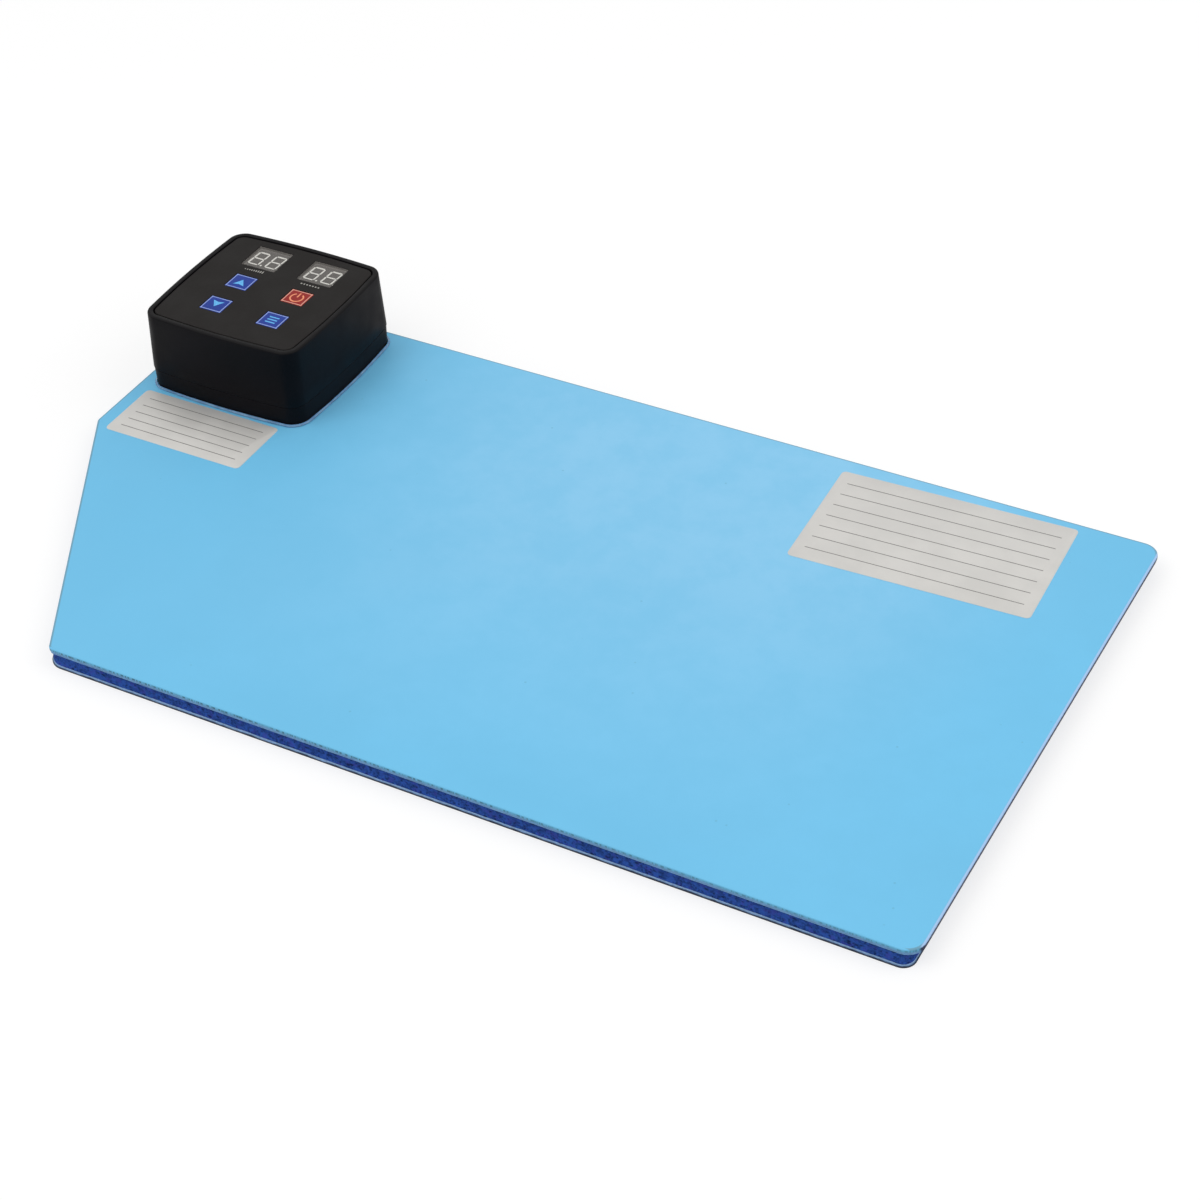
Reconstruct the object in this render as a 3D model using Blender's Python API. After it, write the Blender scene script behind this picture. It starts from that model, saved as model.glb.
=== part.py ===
"""Heating station for separating screens: a heated silicone mat with a control box on its back left tab.

Metres, +Z up. The origin is the middle of the overall outline, on the bench.
+X runs along the long side to the right, +Y to the back.
"""

import math

import bmesh
import bpy
from mathutils import Matrix, Vector

MM = 0.001

# Clearances
GAP = 0.3 * MM  # between pieces that touch on the real object
KEY_GAP = 0.25 * MM  # round the keys and the window panes
SCREW_GAP = 0.3 * MM  # round a screw's shank
PORT_GAP = 1.5 * MM  # round leads that pass through a sheet

# Mat
FIELD_LENGTH = 450 * MM  # heated field, along X
MAT_DEPTH = 300 * MM
TAB_REACH = 92 * MM  # how far the tab sticks out to the left
TAB_SIDE = 137 * MM  # straight left side of the tab
CORNER_RADIUS = 9 * MM
FOOT_RADIUS = 4 * MM  # front left corner and the corner of the tab
SKIN_THICKNESS = 1.4 * MM
FOAM_THICKNESS = 5.8 * MM
BASE_SHEET_THICKNESS = 0.9 * MM
TOP_SHEET_THICKNESS = 2.1 * MM
TOP_SHEET_EDGE = 0.7 * MM  # rounding of the upper edge
SKIN_INSET = 0.2 * MM
FOAM_INSET = 0.9 * MM
BASE_SHEET_INSET = 0.3 * MM
LOWER_STEP = 3.4 * MM  # the foam and the skin stop short of the sheets on the right
LOWER_RADIUS = 6 * MM  # their right corners

# Heating element
FOIL_THICKNESS = 0.4 * MM
FOIL_WIDTH = 5 * MM
FOIL_MARGIN = 13 * MM  # from the edge of the field to the middle of the track
FOIL_LEFT_MARGIN = 17 * MM  # more on the left, where the return run rises
FOIL_RISE_GAP = 1.2 * MM  # between the return run and the last run
FOIL_BEND = 5 * MM  # radius of the return run's bends
FOIL_TURN_STEPS = 6  # straight pieces that make up each turn
FOIL_RUNS = 30  # even, so that the last run ends beside the tab
PAD_SPACING = 8 * MM
SHEET_RIM = 6 * MM  # solid rim of the top sheet round the foil pocket

# Sensor and cut-out in the foam, placed from the field's left edge and the mat's back edge
SENSOR_FROM_CORNER = (61 * MM, 128 * MM)
SENSOR_SIZE = (11 * MM, 7 * MM, 2.6 * MM)
CUTOUT_FROM_CORNER = (47 * MM, 29.5 * MM)
CUTOUT_SIZE = (16 * MM, 8 * MM, 3.4 * MM)
LEAD_RADIUS = 0.9 * MM
LEAD_PITCH = 3.6 * MM  # between two leads side by side
LEAD_BEND = 5 * MM  # where a lead turns up out of its channel
CHANNEL_WIDTH = 3.6 * MM
CHANNEL_DEPTH = 4.6 * MM

# Control box: its size at the seam follows from the panel, and the sides draw in from there both ways
BOX_FROM_LEFT = 55.3 * MM  # from the left edge of the tab to the middle of the box
BOX_FROM_BACK = 51.5 * MM
HEAD_ROOM = 6 * MM  # from the transformer to the display board
SEAM_HEIGHT = 11.4 * MM  # above the mat
FOOT_DRAFT = (0.4 * MM, 0.55 * MM)  # each side, down to the foot
RIM_DRAFT = (1.3 * MM, 1.9 * MM)  # each side, up to the rim
BOX_CORNER_RADIUS = 8.3 * MM
FOOT_BOW = 2.4 * MM  # how far the middle of each side stands out beyond its ends
RIM_BOW = 1.8 * MM
WALL = 2.4 * MM
FLOOR = 2.4 * MM
SEAM_TUCK = 0.2 * MM  # the tray's edge sits this far inside the shell's
LIP_HEIGHT = 2 * MM
LIP_THICKNESS = 0.95 * MM
RIM_ROUNDING = 1.1 * MM
BEAD_WIDTH = 1.3 * MM
BEAD_HEIGHT = 1.2 * MM

# Panel
PANEL_INSET = 3.8 * MM  # from the rim's outer edge to the panel
PANEL_GROOVE = 0.8 * MM  # between the rim and the panel
PANEL_THICKNESS = 2 * MM
PANEL_SINK = 0.3 * MM  # panel below the rim
LEDGE_WIDTH = 2 * MM
LEDGE_THICKNESS = 1.8 * MM
KEY_SIZE = (13.5 * MM, 12.6 * MM)
WINDOW_SIZE = (21.2 * MM, 19.1 * MM)
COLUMN_SPACING = 35.9 * MM
WINDOW_TO_KEYS = 25.1 * MM  # middle of the windows to the middle of the back keys
KEY_SPACING = 23.7 * MM  # from the back keys to the front keys
MARGIN_LEFT = 23.2 * MM  # from the windows to the box's left side
MARGIN_RIGHT = 20.2 * MM
MARGIN_FRONT = 22.1 * MM  # from the front keys to the box's front
MARGIN_BACK = 11.7 * MM  # from the windows to the box's back
FLANGE_WIDTH = 0.8 * MM
FLANGE_THICKNESS = 0.8 * MM
KEY_EDGE = 0.25 * MM
KEY_TRAVEL = 0.4 * MM

# Displays and switches
DISPLAY_HEIGHT = 7.3 * MM
WINDOW_POCKET = 2.3 * MM  # how far the display reaches up into its window
WINDOW_SKIRT = 0.8 * MM  # wall of the window round the display
DIGIT_PITCH = 0.56  # from digit to digit, as a share of the display's width
DIGIT_SHARE = (0.38, 0.72)  # of the display's width and depth
DIGIT_SLANT = 0.06
SEGMENT_WIDTH = 1.2 * MM
SEGMENT_DEPTH = 0.3 * MM
SWITCH_SIZE = (6 * MM, 6 * MM, 2.4 * MM)
PLUNGER_RADIUS = 1.7 * MM
PLUNGER_STAND = 0.7 * MM  # above the switch
STEM_RADIUS = 1.8 * MM

# Boards
BOARD_THICKNESS = 1.6 * MM
DISPLAY_BOARD_MARGIN = (10.25 * MM, 12.25 * MM)  # from the box's sides
DISPLAY_BOARD_SHIFT = (0.5 * MM, 2 * MM)
DISPLAY_SCREW_INSET = 4.5 * MM
PANEL_BOSS_RADIUS = 2.6 * MM
POWER_BOARD_SHIFT = (0, -8.5 * MM)
PART_EDGE = 3 * MM  # from the power board's edges to the parts on it
PART_SPACE = 1.6 * MM  # from the transformer to the relay, and from that to the capacitor
ROW_SPACE = 4.2 * MM  # from the relay back to the fuse, and from that to the terminals
POWER_SCREW_INSET = 3.5 * MM
STANDOFF_HEIGHT = 4 * MM
STANDOFF_RADIUS = 3 * MM
PEG_RADIUS = 1.1 * MM  # locating pegs on two of the standoffs
SMALL_SCREW_RADIUS = 1 * MM
SMALL_SCREW_LENGTH = 5.5 * MM
SMALL_HEAD = (1.9 * MM, 1.2 * MM)  # radius and height

# Long screws
POST_FROM_SIDE = 10.6 * MM  # from the seam's outside to the middle of a post
POST_RADIUS = 3.6 * MM
POST_TOP = 33 * MM
BOSS_TOP = 10.5 * MM
WEB_THICKNESS = 1.4 * MM
WEB_REACH = 7.6 * MM  # from the middle of a post into the wall
CORNER_SCREW_RADIUS = 1.45 * MM
CORNER_SCREW_LENGTH = 30 * MM
CORNER_HEAD = (2.8 * MM, 2 * MM)
PLATE_THICKNESS = 1.5 * MM
PLATE_BAND = 11 * MM
PLATE_OVERHANG = 5.5 * MM  # beyond the screws

# Port for the leads, in the box's own frame
PORT_AT = (25.5 * MM, 22 * MM)
PORT_SIZE = (22 * MM, 17 * MM)
PADS_X = 31.5 * MM
RISER_X = 18.6 * MM  # hole of the sensor's and cut-out's leads

# Mains inlet, in its own frame: X along the wall, Y outwards, Z up the wall
INLET_CLEARANCE = 0.4 * MM  # below the display board
INLET_BODY = (27.2 * MM, 19.8 * MM)
INLET_DEPTH = 20 * MM
INLET_FLANGE = (31 * MM, 22.8 * MM)
INLET_FLANGE_THICKNESS = 2 * MM
INLET_MOUTH = (24.2 * MM, 16.6 * MM)
INLET_MOUTH_DEPTH = 17 * MM
INLET_CHAMFER = 5 * MM
INLET_PIN = (4 * MM, 2 * MM)
INLET_PIN_REACH = 12.4 * MM  # into the mouth, from its floor
INLET_PIN_SPACING = 14 * MM
INLET_PIN_OFFSET = 2 * MM
INLET_TAB_LENGTH = 7 * MM

# Parts on the boards: width, depth and height
TRANSFORMER_SIZE = (30 * MM, 25 * MM, 20 * MM)
RELAY_SIZE = (19 * MM, 15.4 * MM, 15.2 * MM)
CAPACITOR_RADIUS = 6.2 * MM
CAPACITOR_HEIGHT = 19.5 * MM
FUSE_LENGTH = 20 * MM
FUSE_RADIUS = 2.6 * MM
FUSE_CLIP_WIDTH = 6.2 * MM
TERMINAL_PITCH = 5 * MM
TERMINAL_WAYS = 4
TERMINAL_SIZE = (21 * MM, 9 * MM, 10.4 * MM)
TERMINAL_EDGE = 8.8 * MM  # from the board's right edge, past its screw
SOCKET_SIZE = (12 * MM, 6.4 * MM, 6 * MM)
SOCKET_SPACE = 10.5 * MM  # from the terminals
RIBBON_WIDTH = 10 * MM
RIBBON_THICKNESS = 0.9 * MM
RIBBON_EDGE = 1.5 * MM  # from the board's front edge
RIBBON_ROOM = 7.5 * MM  # from the board's front edge to the transformer
BUZZER_RADIUS = 4.5 * MM
BUZZER_HEIGHT = 5.2 * MM
CHIP_SIZE = (9.9 * MM, 3.9 * MM, 1.6 * MM)
CHIP_LEGS = 8  # on each side

# Heights of the layers above the bench
FOAM_Z = SKIN_THICKNESS + GAP
BASE_SHEET_Z = FOAM_Z + FOAM_THICKNESS + GAP
TOP_SHEET_Z = BASE_SHEET_Z + BASE_SHEET_THICKNESS + GAP
MAT_TOP = TOP_SHEET_Z + TOP_SHEET_THICKNESS
FOAM_TOP = FOAM_Z + FOAM_THICKNESS
FOIL_Z = TOP_SHEET_Z
POCKET_CEILING = FOIL_Z + FOIL_THICKNESS + GAP

# Outline of the mat
RIGHT = (FIELD_LENGTH + TAB_REACH) / 2
LEFT = -RIGHT
FIELD_LEFT = RIGHT - FIELD_LENGTH
FRONT = -MAT_DEPTH / 2
BACK = MAT_DEPTH / 2
BOX_X = LEFT + BOX_FROM_LEFT
BOX_Y = BACK - BOX_FROM_BACK

SENSOR_AT = (FIELD_LEFT + SENSOR_FROM_CORNER[0], BACK - SENSOR_FROM_CORNER[1])
CUTOUT_AT = (FIELD_LEFT + CUTOUT_FROM_CORNER[0], BACK - CUTOUT_FROM_CORNER[1])

# Layout of the panel about the middle of the box, and the outlines that follow from it
BOX_SIZE = (
    MARGIN_LEFT + WINDOW_SIZE[0] + COLUMN_SPACING + MARGIN_RIGHT,
    MARGIN_FRONT + KEY_SIZE[1] / 2 + KEY_SPACING + WINDOW_TO_KEYS + WINDOW_SIZE[1] / 2 + MARGIN_BACK,
)
COLUMN_LEFT = -BOX_SIZE[0] / 2 + MARGIN_LEFT + WINDOW_SIZE[0] / 2
COLUMN_RIGHT = COLUMN_LEFT + COLUMN_SPACING
KEY_ROW_FRONT = -BOX_SIZE[1] / 2 + MARGIN_FRONT + KEY_SIZE[1] / 2
KEY_ROW_BACK = KEY_ROW_FRONT + KEY_SPACING
WINDOW_ROW = KEY_ROW_BACK + WINDOW_TO_KEYS
FOOT_SIZE = [side - 2 * draft for side, draft in zip(BOX_SIZE, FOOT_DRAFT)]
RIM_SIZE = [side - 2 * draft for side, draft in zip(BOX_SIZE, RIM_DRAFT)]
DISPLAY_BOARD_SIZE = [side - 2 * margin for side, margin in zip(BOX_SIZE, DISPLAY_BOARD_MARGIN)]
DISPLAY_SIZE = [side - 2 * (WINDOW_SKIRT + GAP) for side in WINDOW_SIZE]

# Heights in the box's own frame, which stands on the mat
TRAY_Z = GAP
TRAY_FLOOR_TOP = TRAY_Z + FLOOR
POWER_BOARD_Z = TRAY_FLOOR_TOP + STANDOFF_HEIGHT + GAP
POWER_BOARD_TOP = POWER_BOARD_Z + BOARD_THICKNESS
PARTS_Z = POWER_BOARD_TOP + GAP
DISPLAY_BOARD_Z = PARTS_Z + TRANSFORMER_SIZE[2] + HEAD_ROOM
DISPLAY_BOARD_TOP = DISPLAY_BOARD_Z + BOARD_THICKNESS
DISPLAY_TOP = DISPLAY_BOARD_TOP + GAP + DISPLAY_HEIGHT
SWITCH_Z = DISPLAY_BOARD_TOP + GAP
SWITCH_TOP = SWITCH_Z + SWITCH_SIZE[2]
PLUNGER_TOP = SWITCH_TOP + PLUNGER_STAND
PLUNGER_Z = SWITCH_Z + 2 * GAP + KEY_TRAVEL
FLANGE_Z = DISPLAY_TOP + GAP - WINDOW_POCKET
FLANGE_TOP = FLANGE_Z + FLANGE_THICKNESS
PANEL_Z = FLANGE_TOP + GAP
PANEL_TOP = PANEL_Z + PANEL_THICKNESS
LEDGE_Z = PANEL_Z - GAP
BOX_HEIGHT = PANEL_TOP + PANEL_SINK  # rim above the mat
INLET_HEIGHT = DISPLAY_BOARD_Z - INLET_CLEARANCE - INLET_BODY[1] / 2
PLATE_TOP = BASE_SHEET_Z - GAP - MAT_TOP
PLATE_Z = PLATE_TOP - PLATE_THICKNESS
POST_X = BOX_SIZE[0] / 2 - POST_FROM_SIDE
POST_Y = BOX_SIZE[1] / 2 - POST_FROM_SIDE
POSTS = [(x, y) for x in (-POST_X, POST_X) for y in (-POST_Y, POST_Y)]

# Layout of the power board: its size follows from the parts that stand on it
POWER_BOARD_SIZE = (
    TRANSFORMER_SIZE[0] + RELAY_SIZE[0] + 2 * CAPACITOR_RADIUS + 2 * PART_SPACE + 2 * PART_EDGE,
    RELAY_SIZE[1] + FUSE_CLIP_WIDTH + TERMINAL_SIZE[1] + 2 * ROW_SPACE + 2 * PART_EDGE,
)
BOARD_LEFT = POWER_BOARD_SHIFT[0] - POWER_BOARD_SIZE[0] / 2
BOARD_RIGHT = POWER_BOARD_SHIFT[0] + POWER_BOARD_SIZE[0] / 2
BOARD_FRONT = POWER_BOARD_SHIFT[1] - POWER_BOARD_SIZE[1] / 2
BOARD_BACK = POWER_BOARD_SHIFT[1] + POWER_BOARD_SIZE[1] / 2
TRANSFORMER_AT = (
    BOARD_LEFT + PART_EDGE + TRANSFORMER_SIZE[0] / 2,
    BOARD_FRONT + RIBBON_ROOM + TRANSFORMER_SIZE[1] / 2,
)
RELAY_LEFT = BOARD_LEFT + PART_EDGE + TRANSFORMER_SIZE[0] + PART_SPACE
RELAY_AT = (RELAY_LEFT + RELAY_SIZE[0] / 2, BOARD_FRONT + PART_EDGE + RELAY_SIZE[1] / 2)
CAPACITOR_AT = (BOARD_RIGHT - PART_EDGE - CAPACITOR_RADIUS, RELAY_AT[1])
FUSE_AT = (RELAY_LEFT + FUSE_LENGTH / 2, RELAY_AT[1] + RELAY_SIZE[1] / 2 + ROW_SPACE + FUSE_CLIP_WIDTH / 2)
TERMINAL_AT = (
    BOARD_RIGHT - TERMINAL_EDGE - TERMINAL_SIZE[0] / 2,
    BOARD_BACK - PART_EDGE - TERMINAL_SIZE[1] / 2,
)
SOCKET_AT = (
    TERMINAL_AT[0] - TERMINAL_SIZE[0] / 2 - SOCKET_SPACE - SOCKET_SIZE[0] / 2,
    BOARD_BACK - PART_EDGE - SOCKET_SIZE[1] / 2,
)
RIBBON_AT = (TRANSFORMER_AT[0], BOARD_FRONT + RIBBON_EDGE)
BUZZER_AT = ((COLUMN_LEFT + COLUMN_RIGHT) / 2, WINDOW_ROW)
CHIP_AT = ((COLUMN_LEFT + COLUMN_RIGHT) / 2, (KEY_ROW_FRONT + KEY_ROW_BACK) / 2)
KEYS = {
    "up": (COLUMN_LEFT, KEY_ROW_BACK),
    "down": (COLUMN_LEFT, KEY_ROW_FRONT),
    "power": (COLUMN_RIGHT, KEY_ROW_BACK),
    "mode": (COLUMN_RIGHT, KEY_ROW_FRONT),
}
WINDOWS = {"temperature": (COLUMN_LEFT, WINDOW_ROW), "time": (COLUMN_RIGHT, WINDOW_ROW)}


# Materials


def finish(name, colour, roughness, metallic=0.0):
    """A Principled BSDF material of one colour."""
    material = bpy.data.materials.get(name)
    if material is None:
        material = bpy.data.materials.new(name)
        material.use_nodes = True
        shader = material.node_tree.nodes["Principled BSDF"]
        shader.inputs["Base Color"].default_value = (*colour, 1.0)
        shader.inputs["Roughness"].default_value = roughness
        shader.inputs["Metallic"].default_value = metallic
        material.diffuse_color = (*colour, 1.0)
    return material


def blue_silicone():
    return finish("blue_silicone", (0.19, 0.54, 0.80), 0.55)


def edge_silicone():
    return finish("edge_silicone", (0.13, 0.26, 0.47), 0.6)


def blue_foam():
    return finish("blue_foam", (0.025, 0.055, 0.24), 0.85)


def skin_rubber():
    return finish("skin_rubber", (0.14, 0.23, 0.40), 0.7)


def black_plastic():
    return finish("black_plastic", (0.008, 0.008, 0.010), 0.45)


def panel_film():
    return finish("panel_film", (0.032, 0.030, 0.028), 0.35)


def key_blue():
    return finish("key_blue", (0.013, 0.045, 0.40), 0.4)


def key_red():
    return finish("key_red", (0.52, 0.03, 0.02), 0.4)


def smoky_window():
    return finish("smoky_window", (0.07, 0.065, 0.06), 0.15)


def display_grey():
    return finish("display_grey", (0.25, 0.25, 0.24), 0.5)


def circuit_green():
    return finish("circuit_green", (0.02, 0.16, 0.06), 0.4)


def component_black():
    return finish("component_black", (0.02, 0.02, 0.02), 0.5)


def transformer_steel():
    return finish("transformer_steel", (0.20, 0.21, 0.22), 0.45, 0.8)


def relay_blue():
    return finish("relay_blue", (0.02, 0.10, 0.42), 0.4)


def terminal_green():
    return finish("terminal_green", (0.03, 0.30, 0.10), 0.45)


def nylon_white():
    return finish("nylon_white", (0.75, 0.74, 0.70), 0.5)


def clear_sealant():
    return finish("clear_sealant", (0.50, 0.62, 0.70), 0.3)


def screw_steel():
    return finish("screw_steel", (0.55, 0.55, 0.56), 0.3, 1.0)


def bright_metal():
    return finish("bright_metal", (0.72, 0.71, 0.68), 0.3, 1.0)


def etched_foil():
    return finish("etched_foil", (0.60, 0.52, 0.40), 0.35, 1.0)


def plate_steel():
    return finish("plate_steel", (0.48, 0.49, 0.50), 0.4, 1.0)


def red_lead():
    return finish("red_lead", (0.50, 0.02, 0.02), 0.5)


def black_lead():
    return finish("black_lead", (0.015, 0.015, 0.015), 0.5)


def white_lead():
    return finish("white_lead", (0.70, 0.70, 0.68), 0.5)


def grey_ribbon():
    return finish("grey_ribbon", (0.35, 0.35, 0.36), 0.6)


# Building blocks


def clear_scene():
    for old in list(bpy.data.objects):
        bpy.data.objects.remove(old, do_unlink=True)


def frame(name, location, parent=None, tilt=0.0):
    """An empty that other pieces are placed from."""
    empty = bpy.data.objects.new(name, None)
    bpy.context.scene.collection.objects.link(empty)
    empty.location = location
    empty.rotation_euler = (tilt, 0, 0)
    empty.parent = parent
    return empty


def piece(name, bm, material=None, parent=None, location=(0, 0, 0), smooth=False):
    """An object from a bmesh, with its faces turned outwards."""
    bmesh.ops.recalc_face_normals(bm, faces=bm.faces)
    mesh = bpy.data.meshes.new(name)
    bm.to_mesh(mesh)
    bm.free()
    if smooth:
        mesh.shade_smooth()
        mesh.set_sharp_from_angle(angle=math.radians(35))
    made = bpy.data.objects.new(name, mesh)
    bpy.context.scene.collection.objects.link(made)
    made.location = location
    made.parent = parent
    if material:
        made.data.materials.append(material)
    return made


def helper(made):
    """Marks an object as a cutter or a shape to be joined, which is no piece of its own."""
    made.hide_render = True
    made.display_type = "WIRE"
    return made


def boolean(target, tool, operation="DIFFERENCE"):
    helper(tool)
    step = target.modifiers.new(tool.name, "BOOLEAN")
    step.operation = operation
    step.solver = "EXACT"
    step.object = tool
    return target


def loft(rings, closed=False):
    """A skin over rings of points, capped at both ends, or joined end to end."""
    bm = bmesh.new()
    loops = [[bm.verts.new(point) for point in ring] for ring in rings]
    pairs = list(zip(loops, loops[1:] + loops[:1])) if closed else list(zip(loops, loops[1:]))
    for low, high in pairs:
        for i in range(len(low)):
            j = (i + 1) % len(low)
            bm.faces.new((low[i], low[j], high[j], high[i]))
    if not closed:
        bm.faces.new(loops[0])
        bm.faces.new(loops[-1])
    return bm


def level(outline, z):
    return [(x, y, z) for x, y in outline]


def slab(outline, low, high):
    return loft([level(outline, low), level(outline, high)])


def box_mesh(size, centre=(0, 0, 0), bevel=0.0, segments=1):
    bm = bmesh.new()
    bmesh.ops.create_cube(bm, size=1.0)
    bmesh.ops.scale(bm, vec=size, verts=bm.verts)
    bmesh.ops.translate(bm, vec=centre, verts=bm.verts)
    if bevel:
        bmesh.ops.bevel(bm, geom=bm.edges[:], offset=bevel, segments=segments, affect="EDGES", profile=0.5)
    return bm


def standing_box(size, at, low, bevel=0.0):
    """A box of the given size that stands at height low."""
    return box_mesh(size, (at[0], at[1], low + size[2] / 2), bevel)


def rod_mesh(radius, low, high, at=(0, 0), sides=16):
    outline = circle(radius, at, sides)
    return slab(outline, low, high)


def turned(profile, at=(0, 0), sides=16):
    """A solid turned about Z from (radius, height) points, from the bottom centre to the top centre."""
    rings = [level(circle(radius, at, sides), height) for radius, height in profile]
    return loft(rings)


def circle(radius, at=(0, 0), sides=16):
    step = 2 * math.pi / sides
    return [(at[0] + radius * math.cos(i * step), at[1] + radius * math.sin(i * step)) for i in range(sides)]


def inset_corners(corners, inset):
    """Corners of a convex polygon whose edges have moved inwards by inset."""
    moved = []
    for i, (x, y, radius) in enumerate(corners):
        here = Vector((x, y))
        before = (here - Vector(corners[i - 1][:2])).normalized()
        after = (Vector(corners[(i + 1) % len(corners)][:2]) - here).normalized()
        inward_before = Vector((-before.y, before.x))
        inward_after = Vector((-after.y, after.x))
        shift = (inward_before + inward_after) / (1 + inward_before.dot(inward_after))
        spot = here + shift * inset
        moved.append((spot.x, spot.y, max(radius - inset, 0.2 * MM)))
    return moved


def rounded_polygon(corners, inset=0.0, steps=5):
    """Outline of a polygon, anticlockwise, with each corner (x, y, radius) as an arc of even steps."""
    corners = inset_corners(corners, inset)
    outline = []
    for i, (x, y, radius) in enumerate(corners):
        here = Vector((x, y))
        before = (Vector(corners[i - 1][:2]) - here).normalized()
        after = (Vector(corners[(i + 1) % len(corners)][:2]) - here).normalized()
        half = before.angle(after) / 2
        middle = here + (before + after).normalized() * (radius / math.sin(half))
        start = (here + before * (radius / math.tan(half))) - middle
        turn = math.pi - 2 * half
        for k in range(steps + 1):
            arm = Matrix.Rotation(turn * k / steps, 2) @ start
            outline.append((middle.x + arm.x, middle.y + arm.y))
    return outline


def rounded_box(size, radius, at=(0, 0), inset=0.0, steps=3):
    half_x = size[0] / 2
    half_y = size[1] / 2
    signs = ((-1, -1), (1, -1), (1, 1), (-1, 1))
    corners = [(at[0] + sx * half_x, at[1] + sy * half_y, radius) for sx, sy in signs]
    return rounded_polygon(corners, inset, steps)


def bowed_box(size, radius, bow, steps=5, side_steps=7):
    """Rounded rectangle whose sides bow out: full size in the middle of a side, less by bow at its ends."""
    half_x = size[0] / 2
    half_y = size[1] / 2
    plain = rounded_box(size, radius, steps=steps)
    outline = []
    for i, start in enumerate(plain):
        end = plain[(i + 1) % len(plain)]
        straight = i % (steps + 1) == steps
        count = side_steps if straight else 1
        for k in range(count):
            x = start[0] + (end[0] - start[0]) * k / count
            y = start[1] + (end[1] - start[1]) * k / count
            pull_x = 1 - bow / half_x * (y / half_y) ** 2
            pull_y = 1 - bow / half_y * (x / half_x) ** 2
            outline.append((x * pull_x, y * pull_y))
    return outline


def mix(low, high, share):
    return low + (high - low) * share


def housing(z, inset=0.0):
    """Ring round the control box at height z, moved inwards by inset. The sides draw in from the seam."""
    if z >= SEAM_HEIGHT:
        share = (z - SEAM_HEIGHT) / (BOX_HEIGHT - SEAM_HEIGHT)
        size = [mix(BOX_SIZE[i], RIM_SIZE[i], share) for i in (0, 1)]
        bow = mix(FOOT_BOW, RIM_BOW, share)
    else:
        share = max(z - TRAY_Z, 0) / (SEAM_HEIGHT - TRAY_Z)
        size = [mix(FOOT_SIZE[i], BOX_SIZE[i] - 2 * SEAM_TUCK, share) for i in (0, 1)]
        bow = FOOT_BOW
    size = [side - 2 * inset for side in size]
    return level(bowed_box(size, max(BOX_CORNER_RADIUS - inset, 1 * MM), bow), z)


def tray_ring(z, inset):
    """Ring round the tray, which keeps the tuck above its seam too."""
    size = [side - 2 * (SEAM_TUCK + inset) for side in BOX_SIZE]
    return level(bowed_box(size, BOX_CORNER_RADIUS - inset, FOOT_BOW), z)


def wire_path(points, turns=4):
    """A smooth curve through the given points, as evenly stepped Catmull-Rom spans."""
    spots = [Vector(p) for p in points]
    spots = [spots[0] * 2 - spots[1]] + spots + [spots[-1] * 2 - spots[-2]]
    path = []
    for a, b, c, d in zip(spots, spots[1:], spots[2:], spots[3:]):
        for k in range(turns):
            t = k / turns
            square = (2 * a - 5 * b + 4 * c - d) * t**2
            cube = (3 * b - a - 3 * c + d) * t**3
            path.append(0.5 * (2 * b + (c - a) * t + square + cube))
    path.append(spots[-2])
    return path


def lead(name, points, radius, material, parent=None):
    """A round wire along a smooth route."""
    path = wire_path(points)
    curve = bpy.data.curves.new(name, "CURVE")
    curve.dimensions = "3D"
    curve.bevel_depth = radius
    curve.bevel_resolution = 2
    curve.use_fill_caps = True
    spline = curve.splines.new("POLY")
    spline.points.add(len(path) - 1)
    for point, spot in zip(spline.points, path):
        point.co = (*spot, 1.0)
    curve.materials.append(material)
    made = bpy.data.objects.new(name, curve)
    bpy.context.scene.collection.objects.link(made)
    made.parent = parent
    return made


# Mat


def mat_corners(step, radius):
    return [
        (FIELD_LEFT, FRONT, FOOT_RADIUS),
        (RIGHT - step, FRONT, radius),
        (RIGHT - step, BACK, radius),
        (LEFT, BACK, CORNER_RADIUS),
        (LEFT, BACK - TAB_SIDE, FOOT_RADIUS),
    ]


def mat_ring(z, inset, step=0.0, radius=CORNER_RADIUS):
    return level(rounded_polygon(mat_corners(step, radius), inset, 6), z)


def lower_ring(z, inset):
    return mat_ring(z, inset, LOWER_STEP, LOWER_RADIUS)


def in_box(point):
    """A point of the box's own plan, in the mat's frame."""
    return (BOX_X + point[0], BOX_Y + point[1])


def corner_holes(target, radius, low, high):
    """Cuts the four holes for the long screws through a piece of the mat."""
    for i, post in enumerate(POSTS):
        hole = piece(f"cut_{target.name}_screw_{i + 1}", rod_mesh(radius, low, high, in_box(post), 12))
        boolean(target, hole)


def make_bottom_skin():
    edge = 0.4 * MM
    rings = [
        lower_ring(0, SKIN_INSET + edge),
        lower_ring(edge, SKIN_INSET),
        lower_ring(SKIN_THICKNESS, SKIN_INSET),
    ]
    piece("bottom_skin", loft(rings), skin_rubber())


def plate_outline(clearance=0.0):
    half_x = POST_X + PLATE_OVERHANG + clearance
    half_y = POST_Y + PLATE_OVERHANG + clearance
    return rounded_box((2 * half_x, 2 * half_y), 4 * MM, (BOX_X, BOX_Y), 0, 3)


def channel_mesh(start, end, width, low, high):
    """A straight trench between two points, with its ends square."""
    run = Vector(end) - Vector(start)
    bm = box_mesh((run.length + width, width, high - low))
    bmesh.ops.rotate(bm, verts=bm.verts, matrix=Matrix.Rotation(math.atan2(run.y, run.x), 3, "Z"))
    middle = (Vector(start) + Vector(end)) / 2
    bmesh.ops.translate(bm, verts=bm.verts, vec=(middle.x, middle.y, (low + high) / 2))
    return bm


def riser(side):
    """Where a lead from the foam rises into the box: side is -1 for the sensor's and 1 for the cut-out's."""
    return in_box((RISER_X, PORT_AT[1] + side * LEAD_PITCH / 2))


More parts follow.
